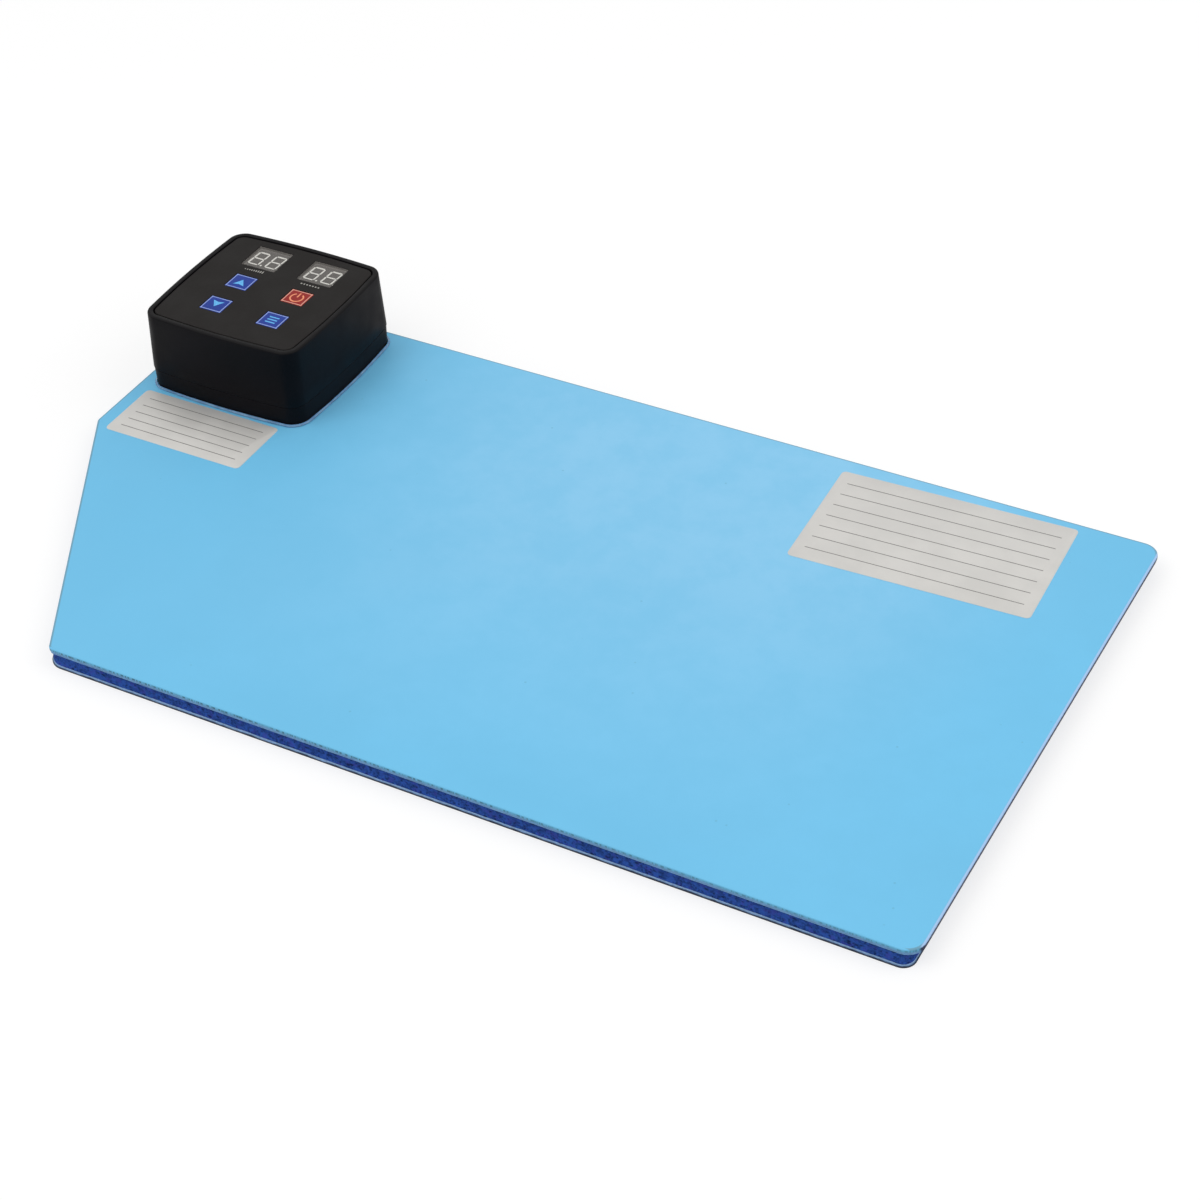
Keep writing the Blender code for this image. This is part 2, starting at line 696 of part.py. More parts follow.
def make_foam_pad():
    rings = [lower_ring(z, FOAM_INSET) for z in (FOAM_Z, FOAM_TOP)]
    foam = piece("foam_pad", loft(rings), blue_foam())
    over = FOAM_TOP + 1 * MM
    plate_pocket = slab(plate_outline(0.5 * MM), MAT_TOP + PLATE_Z - GAP, over)
    boolean(foam, piece("cut_foam_plate", plate_pocket))
    head_radius = CORNER_HEAD[0] + 0.5 * MM
    head_floor = MAT_TOP + PLATE_Z - GAP - CORNER_HEAD[1] - GAP
    corner_holes(foam, head_radius, head_floor, over)
    sensor = standing_box([side + 2 * GAP for side in SENSOR_SIZE[:2]] + [CHANNEL_DEPTH + 1 * MM],
                          SENSOR_AT, FOAM_TOP - SENSOR_SIZE[2] - 2 * GAP)
    boolean(foam, piece("cut_foam_sensor", sensor))
    cutout = standing_box([side + 2 * GAP for side in CUTOUT_SIZE[:2]] + [CHANNEL_DEPTH + 1 * MM],
                          CUTOUT_AT, FOAM_TOP - CUTOUT_SIZE[2] - 2 * GAP)
    boolean(foam, piece("cut_foam_cutout", cutout))
    floor = FOAM_TOP - CHANNEL_DEPTH
    sensor_run = channel_mesh(riser(-1), SENSOR_AT, CHANNEL_WIDTH, floor, over)
    boolean(foam, piece("cut_foam_sensor_run", sensor_run))
    cutout_run = channel_mesh(riser(1), CUTOUT_AT, CHANNEL_WIDTH, floor, over)
    boolean(foam, piece("cut_foam_cutout_run", cutout_run))


def make_clamp_plate():
    blank = slab(plate_outline(), MAT_TOP + PLATE_Z, MAT_TOP + PLATE_TOP)
    plate = piece("clamp_plate", blank, plate_steel())
    half_x = POST_X + PLATE_OVERHANG - PLATE_BAND
    half_y = POST_Y + PLATE_OVERHANG - PLATE_BAND
    window = rounded_box((2 * half_x, 2 * half_y), 6 * MM, (BOX_X, BOX_Y), 0, 3)
    boolean(plate, piece("cut_plate_window", slab(window, 0, MAT_TOP)))
    corner_holes(plate, CORNER_SCREW_RADIUS + SCREW_GAP, 0, MAT_TOP)


def make_heater_base_sheet():
    low = BASE_SHEET_Z
    high = low + BASE_SHEET_THICKNESS
    rings = [mat_ring(low, BASE_SHEET_INSET), mat_ring(high, BASE_SHEET_INSET)]
    sheet = piece("heater_base_sheet", loft(rings), edge_silicone())
    size = (2 * LEAD_RADIUS + 2 * PORT_GAP, LEAD_PITCH + 2 * LEAD_RADIUS + 2 * PORT_GAP)
    hole = rounded_box(size, 1 * MM, in_box((RISER_X, PORT_AT[1])), 0, 2)
    boolean(sheet, piece("cut_base_sheet_riser", slab(hole, 0, 2 * MAT_TOP)))
    corner_holes(sheet, CORNER_SCREW_RADIUS + SCREW_GAP, 0, 2 * MAT_TOP)


def pad_y(side):
    return BOX_Y + PORT_AT[1] + side * PAD_SPACING / 2


def arc(centre, radius, start, end, steps):
    """Points on a circle from one angle to another, in degrees."""
    points = []
    for k in range(steps + 1):
        angle = math.radians(start + (end - start) * k / steps)
        points.append((centre[0] + radius * math.cos(angle), centre[1] + radius * math.sin(angle)))
    return points


def foil_path():
    """Middle line of the track: from the upper pad along the back, then in runs back to the lower pad."""
    right = RIGHT - FOIL_MARGIN
    left = FIELD_LEFT + FOIL_LEFT_MARGIN
    back = BACK - FOIL_MARGIN
    front = FRONT + FOIL_MARGIN
    pitch = (right - left) / (FOIL_RUNS - 1)
    turn = pitch / 2
    start_x = BOX_X + PADS_X
    upper = pad_y(1)
    lower = pad_y(-1)
    rise_x = left - FOIL_WIDTH - FOIL_RISE_GAP
    path = [(start_x, upper)]
    bend = FOIL_BEND
    path += arc((rise_x - bend, upper + bend), bend, -90, 0, 4)
    path += arc((rise_x + bend, back - bend), bend, 180, 90, 4)
    path += arc((right - turn, back - turn), turn, 90, 0, 4)
    top_turn = back - pitch - turn
    for run in range(FOIL_RUNS - 1):
        x = right - run * pitch
        down = run % 2 == 0
        if down:
            path += arc((x - turn, front + turn), turn, 0, -180, FOIL_TURN_STEPS)
        else:
            path += arc((x - turn, top_turn), turn, 0, 180, FOIL_TURN_STEPS)
    path += arc((left - turn, lower - turn), turn, 0, 90, 4)
    path.append((start_x, lower))
    return path


def ribbon_sides(path, half):
    """The two edges of a flat track about its middle line, mitred at every corner."""
    spots = [Vector(p) for p in path]
    left = []
    right = []
    for i, spot in enumerate(spots):
        before = (spot - spots[i - 1]).normalized() if i else (spots[1] - spot).normalized()
        after = (spots[i + 1] - spot).normalized() if i + 1 < len(spots) else before
        normal = Vector((-before.y, before.x)) + Vector((-after.y, after.x))
        normal = normal.normalized() / math.sqrt((1 + before.dot(after)) / 2)
        left.append(spot + normal * half)
        right.append(spot - normal * half)
    return left, right


def make_heating_element():
    """The etched foil track: one strip of even width that turns back on itself FOIL_RUNS times."""
    path = foil_path()
    left, right = ribbon_sides(path, FOIL_WIDTH / 2)
    high = FOIL_Z + FOIL_THICKNESS
    rings = [
        [(*a, FOIL_Z), (*b, FOIL_Z), (*b, high), (*a, high)]
        for a, b in zip([tuple(v) for v in left], [tuple(v) for v in right])
    ]
    piece("heating_element", loft(rings), etched_foil())


def make_top_sheet():
    edge = TOP_SHEET_EDGE
    rings = [
        mat_ring(TOP_SHEET_Z, 0.15 * MM),
        mat_ring(TOP_SHEET_Z + 0.3 * MM, 0),
        mat_ring(MAT_TOP - edge, 0),
        mat_ring(MAT_TOP - 0.3 * edge, 0.3 * edge),
        mat_ring(MAT_TOP, edge),
    ]
    sheet = piece("top_sheet", loft(rings), blue_silicone(), smooth=True)
    below = TOP_SHEET_Z - 1 * MM
    field_size = (FIELD_LENGTH - 2 * SHEET_RIM, MAT_DEPTH - 2 * SHEET_RIM)
    pocket = rounded_box(field_size, 5 * MM, ((FIELD_LEFT + RIGHT) / 2, 0), 0, 3)
    neck_low = pad_y(-1) - FOIL_WIDTH / 2 - 0.7 * MM
    neck_high = pad_y(1) + FOIL_WIDTH / 2 + 0.7 * MM
    neck_left = BOX_X + PORT_AT[0]
    pocket += [(FIELD_LEFT + SHEET_RIM, neck_high), (neck_left, neck_high)]
    pocket += [(neck_left, neck_low), (FIELD_LEFT + SHEET_RIM, neck_low)]
    boolean(sheet, piece("cut_foil_pocket", slab(pocket, below, POCKET_CEILING)))
    port = rounded_box(PORT_SIZE, 2 * MM, in_box(PORT_AT), 0, 3)
    boolean(sheet, piece("cut_sheet_port", slab(port, below, MAT_TOP + 1 * MM)))
    corner_holes(sheet, CORNER_SCREW_RADIUS + SCREW_GAP, below, MAT_TOP + 1 * MM)


def make_temperature_sensor():
    """Flat sensor: a moulded tongue with a domed bead."""
    width, depth, height = SENSOR_SIZE
    low = FOAM_TOP - height
    tongue = standing_box((width, depth, 0.6 * height), SENSOR_AT, low, 0.3 * MM)
    sensor = piece("temperature_sensor", tongue, component_black())
    dome = turned([(2.6 * MM, low + 0.3 * height), (2.6 * MM, low + 0.8 * height), (1.6 * MM, low + height)],
                  SENSOR_AT, 12)
    boolean(sensor, piece("join_sensor_bead", dome), "UNION")


def make_thermal_cutout():
    """Bimetal cut-out: a flat can with a raised round cap."""
    width, depth, height = CUTOUT_SIZE
    low = FOAM_TOP - height
    body = standing_box((width, depth, 0.75 * height), CUTOUT_AT, low, 0.4 * MM)
    can = piece("thermal_cutout", body, bright_metal())
    cap = turned([(3.2 * MM, low + 0.4 * height), (3.2 * MM, low + 0.95 * height), (2.8 * MM, low + height)],
                 CUTOUT_AT, 14)
    boolean(can, piece("join_cutout_cap", cap), "UNION")


def buried_lead(name, side, target, target_size, lift, material):
    """A lead from a piece in the foam, along its channel, up through the port and over to its plug."""
    hole = Vector(riser(side))
    spot = Vector(target)
    run = (spot - hole).normalized()
    reach = abs(run.x) * target_size[0] / 2 + abs(run.y) * target_size[1] / 2 + GAP + LEAD_RADIUS
    depth = FOAM_TOP - CHANNEL_DEPTH + GAP + LEAD_RADIUS
    end = spot - run * reach
    bend = hole + run * LEAD_BEND
    points = [(*end.lerp(bend, share), depth) for share in (0, 0.33, 0.66, 1)]
    points.append((*(hole + run * 0.2 * LEAD_BEND), depth + 0.3 * LEAD_BEND))
    points.append((*hole, BASE_SHEET_Z))
    points.append((*hole, MAT_TOP + TRAY_FLOOR_TOP + 0.6 * LEAD_BEND))
    plug_x = SOCKET_AT[0] - side * SOCKET_SIZE[0] / 4
    plug = Vector(in_box((plug_x, SOCKET_AT[1] + SOCKET_SIZE[1] / 2 + GAP)))
    plug_z = MAT_TOP + PARTS_Z + SOCKET_SIZE[2] / 2
    behind = Vector((0, LEAD_PITCH))
    points.append((*(Vector((mix(hole.x, plug.x, 0.2), hole.y)) + 0.2 * behind), plug_z + lift))
    points.append((*(Vector((mix(hole.x, plug.x, 0.6), hole.y)) + 0.4 * behind), plug_z + lift))
    points.append((mix(hole.x, plug.x, 0.9), mix(hole.y, plug.y, 0.3), plug_z + 0.5 * lift))
    points.append((*plug, plug_z))
    lead(name, points, LEAD_RADIUS, material)


def make_buried_leads():
    buried_lead("sensor_lead", -1, SENSOR_AT, SENSOR_SIZE, LEAD_RADIUS, white_lead())
    buried_lead("cutout_lead", 1, CUTOUT_AT, CUTOUT_SIZE, LEAD_PITCH, red_lead())


# Control box


def make_sealant_bead(box):
    """A fillet of silicone on the mat, round the foot of the tray."""

    def ring(outwards, z):
        size = [side + 2 * outwards for side in FOOT_SIZE]
        return level(bowed_box(size, BOX_CORNER_RADIUS + outwards, FOOT_BOW), z)

    rings = [
        ring(GAP, GAP),
        ring(GAP + BEAD_WIDTH, GAP),
        ring(GAP + 0.4 * BEAD_WIDTH, GAP + 0.35 * BEAD_HEIGHT),
        ring(GAP + 0.12 * BEAD_WIDTH, GAP + BEAD_HEIGHT),
    ]
    piece("sealant_bead", loft(rings, closed=True), clear_sealant(), box, smooth=True)


def power_screw_spots():
    """Standoffs under the power board: two hold screws and two hold locating pegs."""
    half_x = POWER_BOARD_SIZE[0] / 2 - POWER_SCREW_INSET
    half_y = POWER_BOARD_SIZE[1] / 2 - POWER_SCREW_INSET
    x, y = POWER_BOARD_SHIFT
    screws = [(x - half_x, y - half_y), (x + half_x, y + half_y)]
    pegs = [(x + half_x, y - half_y), (x - half_x, y + half_y)]
    return screws, pegs


def make_base_tray(box):
    """Lower half: floor, wall, locating lip, screw bosses, standoffs and the port for the leads."""
    edge = 0.6 * MM
    lip_top = SEAM_HEIGHT + LIP_HEIGHT
    lip_outside = WALL - LIP_THICKNESS
    rings = [
        housing(TRAY_Z, edge),
        housing(TRAY_Z + edge, 0),
        tray_ring(SEAM_HEIGHT, 0),
        tray_ring(SEAM_HEIGHT, lip_outside),
        tray_ring(lip_top, lip_outside),
        tray_ring(lip_top, WALL),
        tray_ring(TRAY_FLOOR_TOP, WALL + 0.3 * MM),
    ]
    tray = piece("base_tray", loft(rings), black_plastic(), box)
    sunk = TRAY_FLOOR_TOP - 0.5 * FLOOR
    for i, post in enumerate(POSTS):
        boss = piece(f"join_tray_boss_{i + 1}", rod_mesh(POST_RADIUS, sunk, BOSS_TOP, post, 16), parent=box)
        boolean(tray, boss, "UNION")
    screws, pegs = power_screw_spots()
    seat = TRAY_FLOOR_TOP + STANDOFF_HEIGHT
    for i, spot in enumerate(screws + pegs):
        standoff = rod_mesh(STANDOFF_RADIUS, sunk, seat, spot, 14)
        boolean(tray, piece(f"join_standoff_{i + 1}", standoff, parent=box), "UNION")
    for i, spot in enumerate(pegs):
        peg = [
            (PEG_RADIUS, seat - 1 * MM),
            (PEG_RADIUS, POWER_BOARD_TOP + 0.6 * MM),
            (0.6 * PEG_RADIUS, POWER_BOARD_TOP + 1.2 * MM),
        ]
        boolean(tray, piece(f"join_peg_{i + 1}", turned(peg, spot, 10), parent=box), "UNION")
    for i, spot in enumerate(screws):
        bore = rod_mesh(SMALL_SCREW_RADIUS + SCREW_GAP, TRAY_FLOOR_TOP, seat + 1 * MM, spot, 10)
        boolean(tray, piece(f"cut_standoff_{i + 1}", bore, parent=box))
    for i, post in enumerate(POSTS):
        bore = rod_mesh(CORNER_SCREW_RADIUS + SCREW_GAP, -1 * MM, BOSS_TOP + 1 * MM, post, 12)
        boolean(tray, piece(f"cut_tray_boss_{i + 1}", bore, parent=box))
    port = rounded_box(PORT_SIZE, 2 * MM, PORT_AT, 0, 3)
    boolean(tray, piece("cut_tray_port", slab(port, -1 * MM, TRAY_FLOOR_TOP + 1 * MM), parent=box))


def make_top_shell(box, inlet):
    """Upper half: bowed walls, rounded rim, panel ledge, posts with webs, and the inlet's cut-out."""
    low = SEAM_HEIGHT + GAP
    edge = 0.3 * MM
    rim = BOX_HEIGHT
    round_a = RIM_ROUNDING
    recess = PANEL_INSET - PANEL_GROOVE
    ledge_end = PANEL_INSET + LEDGE_WIDTH
    ledge_low = LEDGE_Z - LEDGE_THICKNESS
    rebate_top = SEAM_HEIGHT + LIP_HEIGHT + GAP
    rebate = WALL - LIP_THICKNESS - GAP + SEAM_TUCK
    rings = [
        housing(low, edge),
        housing(low + edge, 0),
        housing(rim - round_a, 0),
        housing(rim - 0.3 * round_a, 0.3 * round_a),
        housing(rim, round_a),
        housing(rim, recess - 0.2 * MM),
        housing(rim - 0.2 * MM, recess),
        housing(LEDGE_Z, recess),
        housing(LEDGE_Z, ledge_end),
        housing(ledge_low, ledge_end),
        housing(ledge_low - (ledge_end - WALL) / 2, WALL),
        housing(rebate_top, WALL),
        housing(rebate_top, rebate),
        housing(low, rebate),
    ]
    shell = piece("top_shell", loft(rings, closed=True), black_plastic(), box, smooth=True)
    foot = BOSS_TOP + GAP
    reach = WEB_REACH
    for i, (x, y) in enumerate(POSTS):
        post = piece(f"join_post_{i + 1}", rod_mesh(POST_RADIUS, foot, POST_TOP, (x, y), 16), parent=box)
        web_low = rebate_top + 1 * MM
        web_top = POST_TOP - 2 * MM
        height = web_top - web_low
        middle = (web_low + web_top) / 2
        along_x = box_mesh((reach, WEB_THICKNESS, height), (x + math.copysign(reach / 2, x), y, middle))
        along_y = box_mesh((WEB_THICKNESS, reach, height), (x, y + math.copysign(reach / 2, y), middle))
        boolean(shell, piece(f"join_web_x_{i + 1}", along_x, parent=box), "UNION")
        boolean(shell, piece(f"join_web_y_{i + 1}", along_y, parent=box), "UNION")
        boolean(shell, post, "UNION")
        bore = rod_mesh(CORNER_SCREW_RADIUS + SCREW_GAP, foot - 1 * MM, POST_TOP - 5 * MM, (x, y), 12)
        boolean(shell, piece(f"cut_post_{i + 1}", bore, parent=box))
    opening = inlet_section(INLET_BODY, GAP)
    boolean(shell, piece("cut_inlet", sheet_of_inlet(opening, -8 * MM, 6 * MM), parent=inlet))


def make_control_panel(box):
    """Flush panel with openings for the windows and keys, and bosses that hold the display board."""
    edge = 0.25 * MM
    rings = [
        housing(BOX_HEIGHT, PANEL_INSET),
        housing(BOX_HEIGHT, PANEL_INSET),
        housing(BOX_HEIGHT, PANEL_INSET + edge),
    ]
    heights = (PANEL_Z, PANEL_TOP - edge, PANEL_TOP)
    rings = [[(x, y, z) for x, y, _ in ring] for ring, z in zip(rings, heights)]
    panel = piece("control_panel", loft(rings), panel_film(), box)
    openings = [(name, WINDOW_SIZE, spot) for name, spot in WINDOWS.items()]
    openings += [(name, KEY_SIZE, spot) for name, spot in KEYS.items()]
    for name, size, spot in openings:
        hole = rounded_box([side + 2 * KEY_GAP for side in size], 0.6 * MM, spot, 0, 2)
        cutter = slab(hole, PANEL_Z - 1 * MM, PANEL_TOP + 1 * MM)
        boolean(panel, piece(f"cut_panel_{name}", cutter, parent=box))
    for i, spot in enumerate(display_screw_spots()):
        foot = DISPLAY_BOARD_TOP + GAP
        boss = rod_mesh(PANEL_BOSS_RADIUS, foot, PANEL_Z + 0.5 * PANEL_THICKNESS, spot, 14)
        boolean(panel, piece(f"join_panel_boss_{i + 1}", boss, parent=box), "UNION")
        bore = rod_mesh(SMALL_SCREW_RADIUS + SCREW_GAP, foot - 1 * MM, PANEL_Z - 0.5 * MM, spot, 10)
        boolean(panel, piece(f"cut_panel_boss_{i + 1}", bore, parent=box))


def flanged_tile(size, edge, pocket=0):
    """A flush tile with a flange below the panel, about its own middle, and room for a display under it."""
    flange = [side + 2 * (FLANGE_WIDTH + KEY_GAP) for side in size]
    hollow = [side + 2 * GAP for side in DISPLAY_SIZE]
    rings = []
    if pocket:
        rings.append(level(rounded_box(hollow, 0.4 * MM, steps=2), FLANGE_Z + pocket - PANEL_TOP))
        rings.append(level(rounded_box(hollow, 0.4 * MM, steps=2), FLANGE_Z - PANEL_TOP))
    rings += [
        level(rounded_box(flange, 0.6 * MM, steps=2), FLANGE_Z - PANEL_TOP),
        level(rounded_box(flange, 0.6 * MM, steps=2), FLANGE_TOP - PANEL_TOP),
        level(rounded_box(size, 0.5 * MM, steps=2), FLANGE_TOP - PANEL_TOP),
        level(rounded_box(size, 0.5 * MM, steps=2), -edge),
        level(rounded_box(size, 0.5 * MM, inset=edge, steps=2), 0),
    ]
    return loft(rings)


def make_windows(box):
    for name, (x, y) in WINDOWS.items():
        window = flanged_tile(WINDOW_SIZE, 0.15 * MM, WINDOW_POCKET)
        piece(f"{name}_window", window, smoky_window(), box, (x, y, PANEL_TOP))


def make_keys(box):
    """Each key, its switch and its plunger share one vertical axis."""
    bore_radius = PLUNGER_RADIUS + SCREW_GAP
    for name, (x, y) in KEYS.items():
        material = key_red() if name == "power" else key_blue()
        key = piece(f"key_{name}", flanged_tile(KEY_SIZE, KEY_EDGE), material, box, (x, y, PANEL_TOP))
        stem_z = PLUNGER_TOP + GAP - PANEL_TOP
        stem = rod_mesh(STEM_RADIUS, stem_z, FLANGE_Z + 0.4 * MM - PANEL_TOP, sides=12)
        boolean(key, piece(f"join_stem_{name}", stem, parent=box, location=(x, y, PANEL_TOP)), "UNION")
        body = standing_box(SWITCH_SIZE, (x, y), SWITCH_Z, 0.3 * MM)
        switch = piece(f"switch_{name}", body, component_black(), box)
        bore = rod_mesh(bore_radius, PLUNGER_Z - GAP - KEY_TRAVEL, SWITCH_TOP + 1 * MM, (x, y), 12)
        boolean(switch, piece(f"cut_switch_{name}", bore, parent=box))
        high = PLUNGER_TOP - PANEL_TOP
        profile = [
            (PLUNGER_RADIUS, PLUNGER_Z - PANEL_TOP),
            (PLUNGER_RADIUS, high - 0.2 * MM),
            (PLUNGER_RADIUS - 0.2 * MM, high),
        ]
        piece(f"plunger_{name}", turned(profile, sides=12), nylon_white(), box, (x, y, PANEL_TOP))


def segment(length, width):
    """A bar with pointed ends, along X."""
    half = length / 2
    side = width / 2
    flat = half - side
    return [(-half, 0), (-flat, -side), (flat, -side), (half, 0), (flat, side), (-flat, side)]


def digit_segments(at):
    """The seven bars of a slanted digit about its middle."""
    width = DIGIT_SHARE[0] * DISPLAY_SIZE[0] - SEGMENT_WIDTH
    height = DIGIT_SHARE[1] * DISPLAY_SIZE[1] - SEGMENT_WIDTH
    space = 0.15 * SEGMENT_WIDTH
    bars = [((0, row * height / 2), False) for row in (-1, 0, 1)]
    bars += [((side * width / 2, row * height / 4), True) for side in (-1, 1) for row in (-1, 1)]
    outlines = []
    for (x, y), upright in bars:
        length = (height / 2 if upright else width) - 2 * space
        outline = segment(length, SEGMENT_WIDTH)
        if upright:
            outline = [(-v, u) for u, v in outline]
        outlines.append([(at[0] + x + u + DIGIT_SLANT * (y + v), at[1] + y + v) for u, v in outline])
    return outlines


def make_displays(box):
    """Two-digit modules, with each lit bar sunk a little into the face."""
    for name, (x, y) in WINDOWS.items():
        size = (*DISPLAY_SIZE, DISPLAY_HEIGHT)
        body = standing_box(size, (x, y), DISPLAY_TOP - DISPLAY_HEIGHT, 0.25 * MM)
        module = piece(f"{name}_display", body, display_grey(), box)
        bars = bmesh.new()
        for side in (-0.5, 0.5):
            for outline in digit_segments((x + side * DIGIT_PITCH * DISPLAY_SIZE[0], y)):
                low = [bars.verts.new((u, v, DISPLAY_TOP - SEGMENT_DEPTH)) for u, v in outline]
                high = [bars.verts.new((u, v, DISPLAY_TOP + 1 * MM)) for u, v in outline]
                bars.faces.new(low)
                bars.faces.new(high)
                for i in range(len(low)):
                    j = (i + 1) % len(low)
                    bars.faces.new((low[i], low[j], high[j], high[i]))
        boolean(module, piece(f"cut_segments_{name}", bars, parent=box))


def display_screw_spots():
    half_x = DISPLAY_BOARD_SIZE[0] / 2 - DISPLAY_SCREW_INSET
    half_y = DISPLAY_BOARD_SIZE[1] / 2 - DISPLAY_SCREW_INSET
    x, y = DISPLAY_BOARD_SHIFT
    return [(x + sx * half_x, y + sy * half_y) for sx in (-1, 1) for sy in (-1, 1)]


def make_display_board(box):
    board = rounded_box(DISPLAY_BOARD_SIZE, 2 * MM, DISPLAY_BOARD_SHIFT, 0, 2)
    made = piece("display_board", slab(board, DISPLAY_BOARD_Z, DISPLAY_BOARD_TOP), circuit_green(), box)
    for i, spot in enumerate(display_screw_spots()):
        hole = rod_mesh(SMALL_SCREW_RADIUS + SCREW_GAP, DISPLAY_BOARD_Z - 1 * MM, PANEL_TOP, spot, 10)
        boolean(made, piece(f"cut_display_board_{i + 1}", hole, parent=box))
        screw = small_screw(-1)
        piece(f"display_board_screw_{i + 1}", screw, screw_steel(), box, (*spot, DISPLAY_BOARD_Z - GAP))


def small_screw(way):
    """A pan-head screw about its own seat: way is 1 for a head above the seat and -1 for one below."""
    radius, height = SMALL_HEAD
    profile = [
        (SMALL_SCREW_RADIUS * 0.6, -SMALL_SCREW_LENGTH),
        (SMALL_SCREW_RADIUS, -SMALL_SCREW_LENGTH + 0.6 * MM),
        (SMALL_SCREW_RADIUS, 0),
        (radius, 0),
        (radius, 0.5 * height),
        (0.6 * radius, height),
    ]
    return turned([(r, way * z) for r, z in profile], sides=10)


def make_power_board(box):
    board = rounded_box(POWER_BOARD_SIZE, 1.5 * MM, POWER_BOARD_SHIFT, 0, 2)
    made = piece("power_board", slab(board, POWER_BOARD_Z, POWER_BOARD_TOP), circuit_green(), box)
    screws, pegs = power_screw_spots()
    for i, spot in enumerate(screws + pegs):
        hole = rod_mesh(PEG_RADIUS + SCREW_GAP, POWER_BOARD_Z - 1 * MM, POWER_BOARD_TOP + 1 * MM, spot, 10)
        boolean(made, piece(f"cut_power_board_{i + 1}", hole, parent=box))
    for i, spot in enumerate(screws):
        seat = (*spot, POWER_BOARD_TOP + GAP)
        piece(f"power_board_screw_{i + 1}", small_screw(1), screw_steel(), box, seat)


def make_corner_screws(box):
    """Long pan-head screws, heads under the clamp plate, up into the posts of the shell."""
    radius, height = CORNER_HEAD
    tip = CORNER_SCREW_LENGTH
    profile = [
        (0.55 * radius, -height),
        (radius, -0.5 * height),
        (radius, 0),
        (CORNER_SCREW_RADIUS, 0),
        (CORNER_SCREW_RADIUS, tip - 1 * MM),
        (0.5 * CORNER_SCREW_RADIUS, tip),
    ]
    for i, post in enumerate(POSTS):
        seat = (*post, PLATE_Z - GAP)
        screw = piece(f"corner_screw_{i + 1}", turned(profile, sides=12), screw_steel(), box, seat)
        slot = box_mesh((0.7 * MM, 1.5 * radius, 1.2 * MM), (0, 0, -height))
        cross = box_mesh((1.5 * radius, 0.7 * MM, 1.2 * MM), (0, 0, -height))
        boolean(screw, piece(f"cut_slot_{i + 1}", slot, parent=box, location=seat))
        boolean(screw, piece(f"cut_cross_{i + 1}", cross, parent=box, location=seat))


# Parts on the boards


def make_power_transformer(box):
    """Laminated core with a wound bobbin bulging in front and behind."""
    width, depth, height = TRANSFORMER_SIZE
    core = standing_box((width, 0.62 * depth, height), TRANSFORMER_AT, PARTS_Z, 0.4 * MM)
    made = piece("power_transformer", core, transformer_steel(), box)
    coil = box_mesh((0.62 * width, depth, 0.66 * height),
                    (*TRANSFORMER_AT, PARTS_Z + 0.5 * height), 2 * MM, 2)
    boolean(made, piece("join_transformer_coil", coil, parent=box), "UNION")
    foot = standing_box((0.8 * width, 0.9 * depth, 2 * MM), TRANSFORMER_AT, PARTS_Z)
    boolean(made, piece("join_transformer_foot", foot, parent=box), "UNION")


def make_relay(box):
    width, depth, height = RELAY_SIZE
    made = piece("relay", standing_box(RELAY_SIZE, RELAY_AT, PARTS_Z, 0.7 * MM), relay_blue(), box)
    foot = standing_box((width + 0.6 * MM, depth + 0.6 * MM, 1.4 * MM), RELAY_AT, PARTS_Z)
    boolean(made, piece("join_relay_foot", foot, parent=box), "UNION")


def make_filter_capacitor(box):
    """Upright can with a crimp near its foot."""
    radius = CAPACITOR_RADIUS
    high = PARTS_Z + CAPACITOR_HEIGHT
    profile = [
        (radius - 0.4 * MM, PARTS_Z),
        (radius, PARTS_Z + 0.5 * MM),
        (radius, PARTS_Z + 1.6 * MM),
        (radius - 0.6 * MM, PARTS_Z + 2.3 * MM),
        (radius, PARTS_Z + 3 * MM),
        (radius, high - 0.6 * MM),
        (radius - 0.7 * MM, high),
    ]
    piece("filter_capacitor", turned(profile, CAPACITOR_AT, 20), component_black(), box, smooth=True)


def make_fuse(box):
    """Glass tube with metal ends, held in two clips."""
    cap = 5 * MM
    waist = FUSE_RADIUS - 0.3 * MM
    half = FUSE_LENGTH / 2
    profile = [
        (FUSE_RADIUS, -half),
        (FUSE_RADIUS, -half + cap),
        (waist, -half + cap),
        (waist, half - cap),
        (FUSE_RADIUS, half - cap),
        (FUSE_RADIUS, half),
    ]
    tube = turned(profile, sides=14)
    bmesh.ops.rotate(tube, verts=tube.verts, matrix=Matrix.Rotation(math.pi / 2, 3, "Y"))
    centre_z = PARTS_Z + FUSE_RADIUS + 1.6 * MM
    bmesh.ops.translate(tube, verts=tube.verts, vec=(*FUSE_AT, centre_z))
    made = piece("fuse", tube, bright_metal(), box)
    for i, side in enumerate((-1, 1)):
        at = (FUSE_AT[0] + side * (half - cap / 2), FUSE_AT[1])
        clip = standing_box((3 * MM, FUSE_CLIP_WIDTH, FUSE_RADIUS + 2.6 * MM), at, PARTS_Z)
        boolean(made, piece(f"join_fuse_clip_{i + 1}", clip, parent=box), "UNION")


def terminal_x(way):
    return TERMINAL_AT[0] + (way - (TERMINAL_WAYS - 1) / 2) * TERMINAL_PITCH


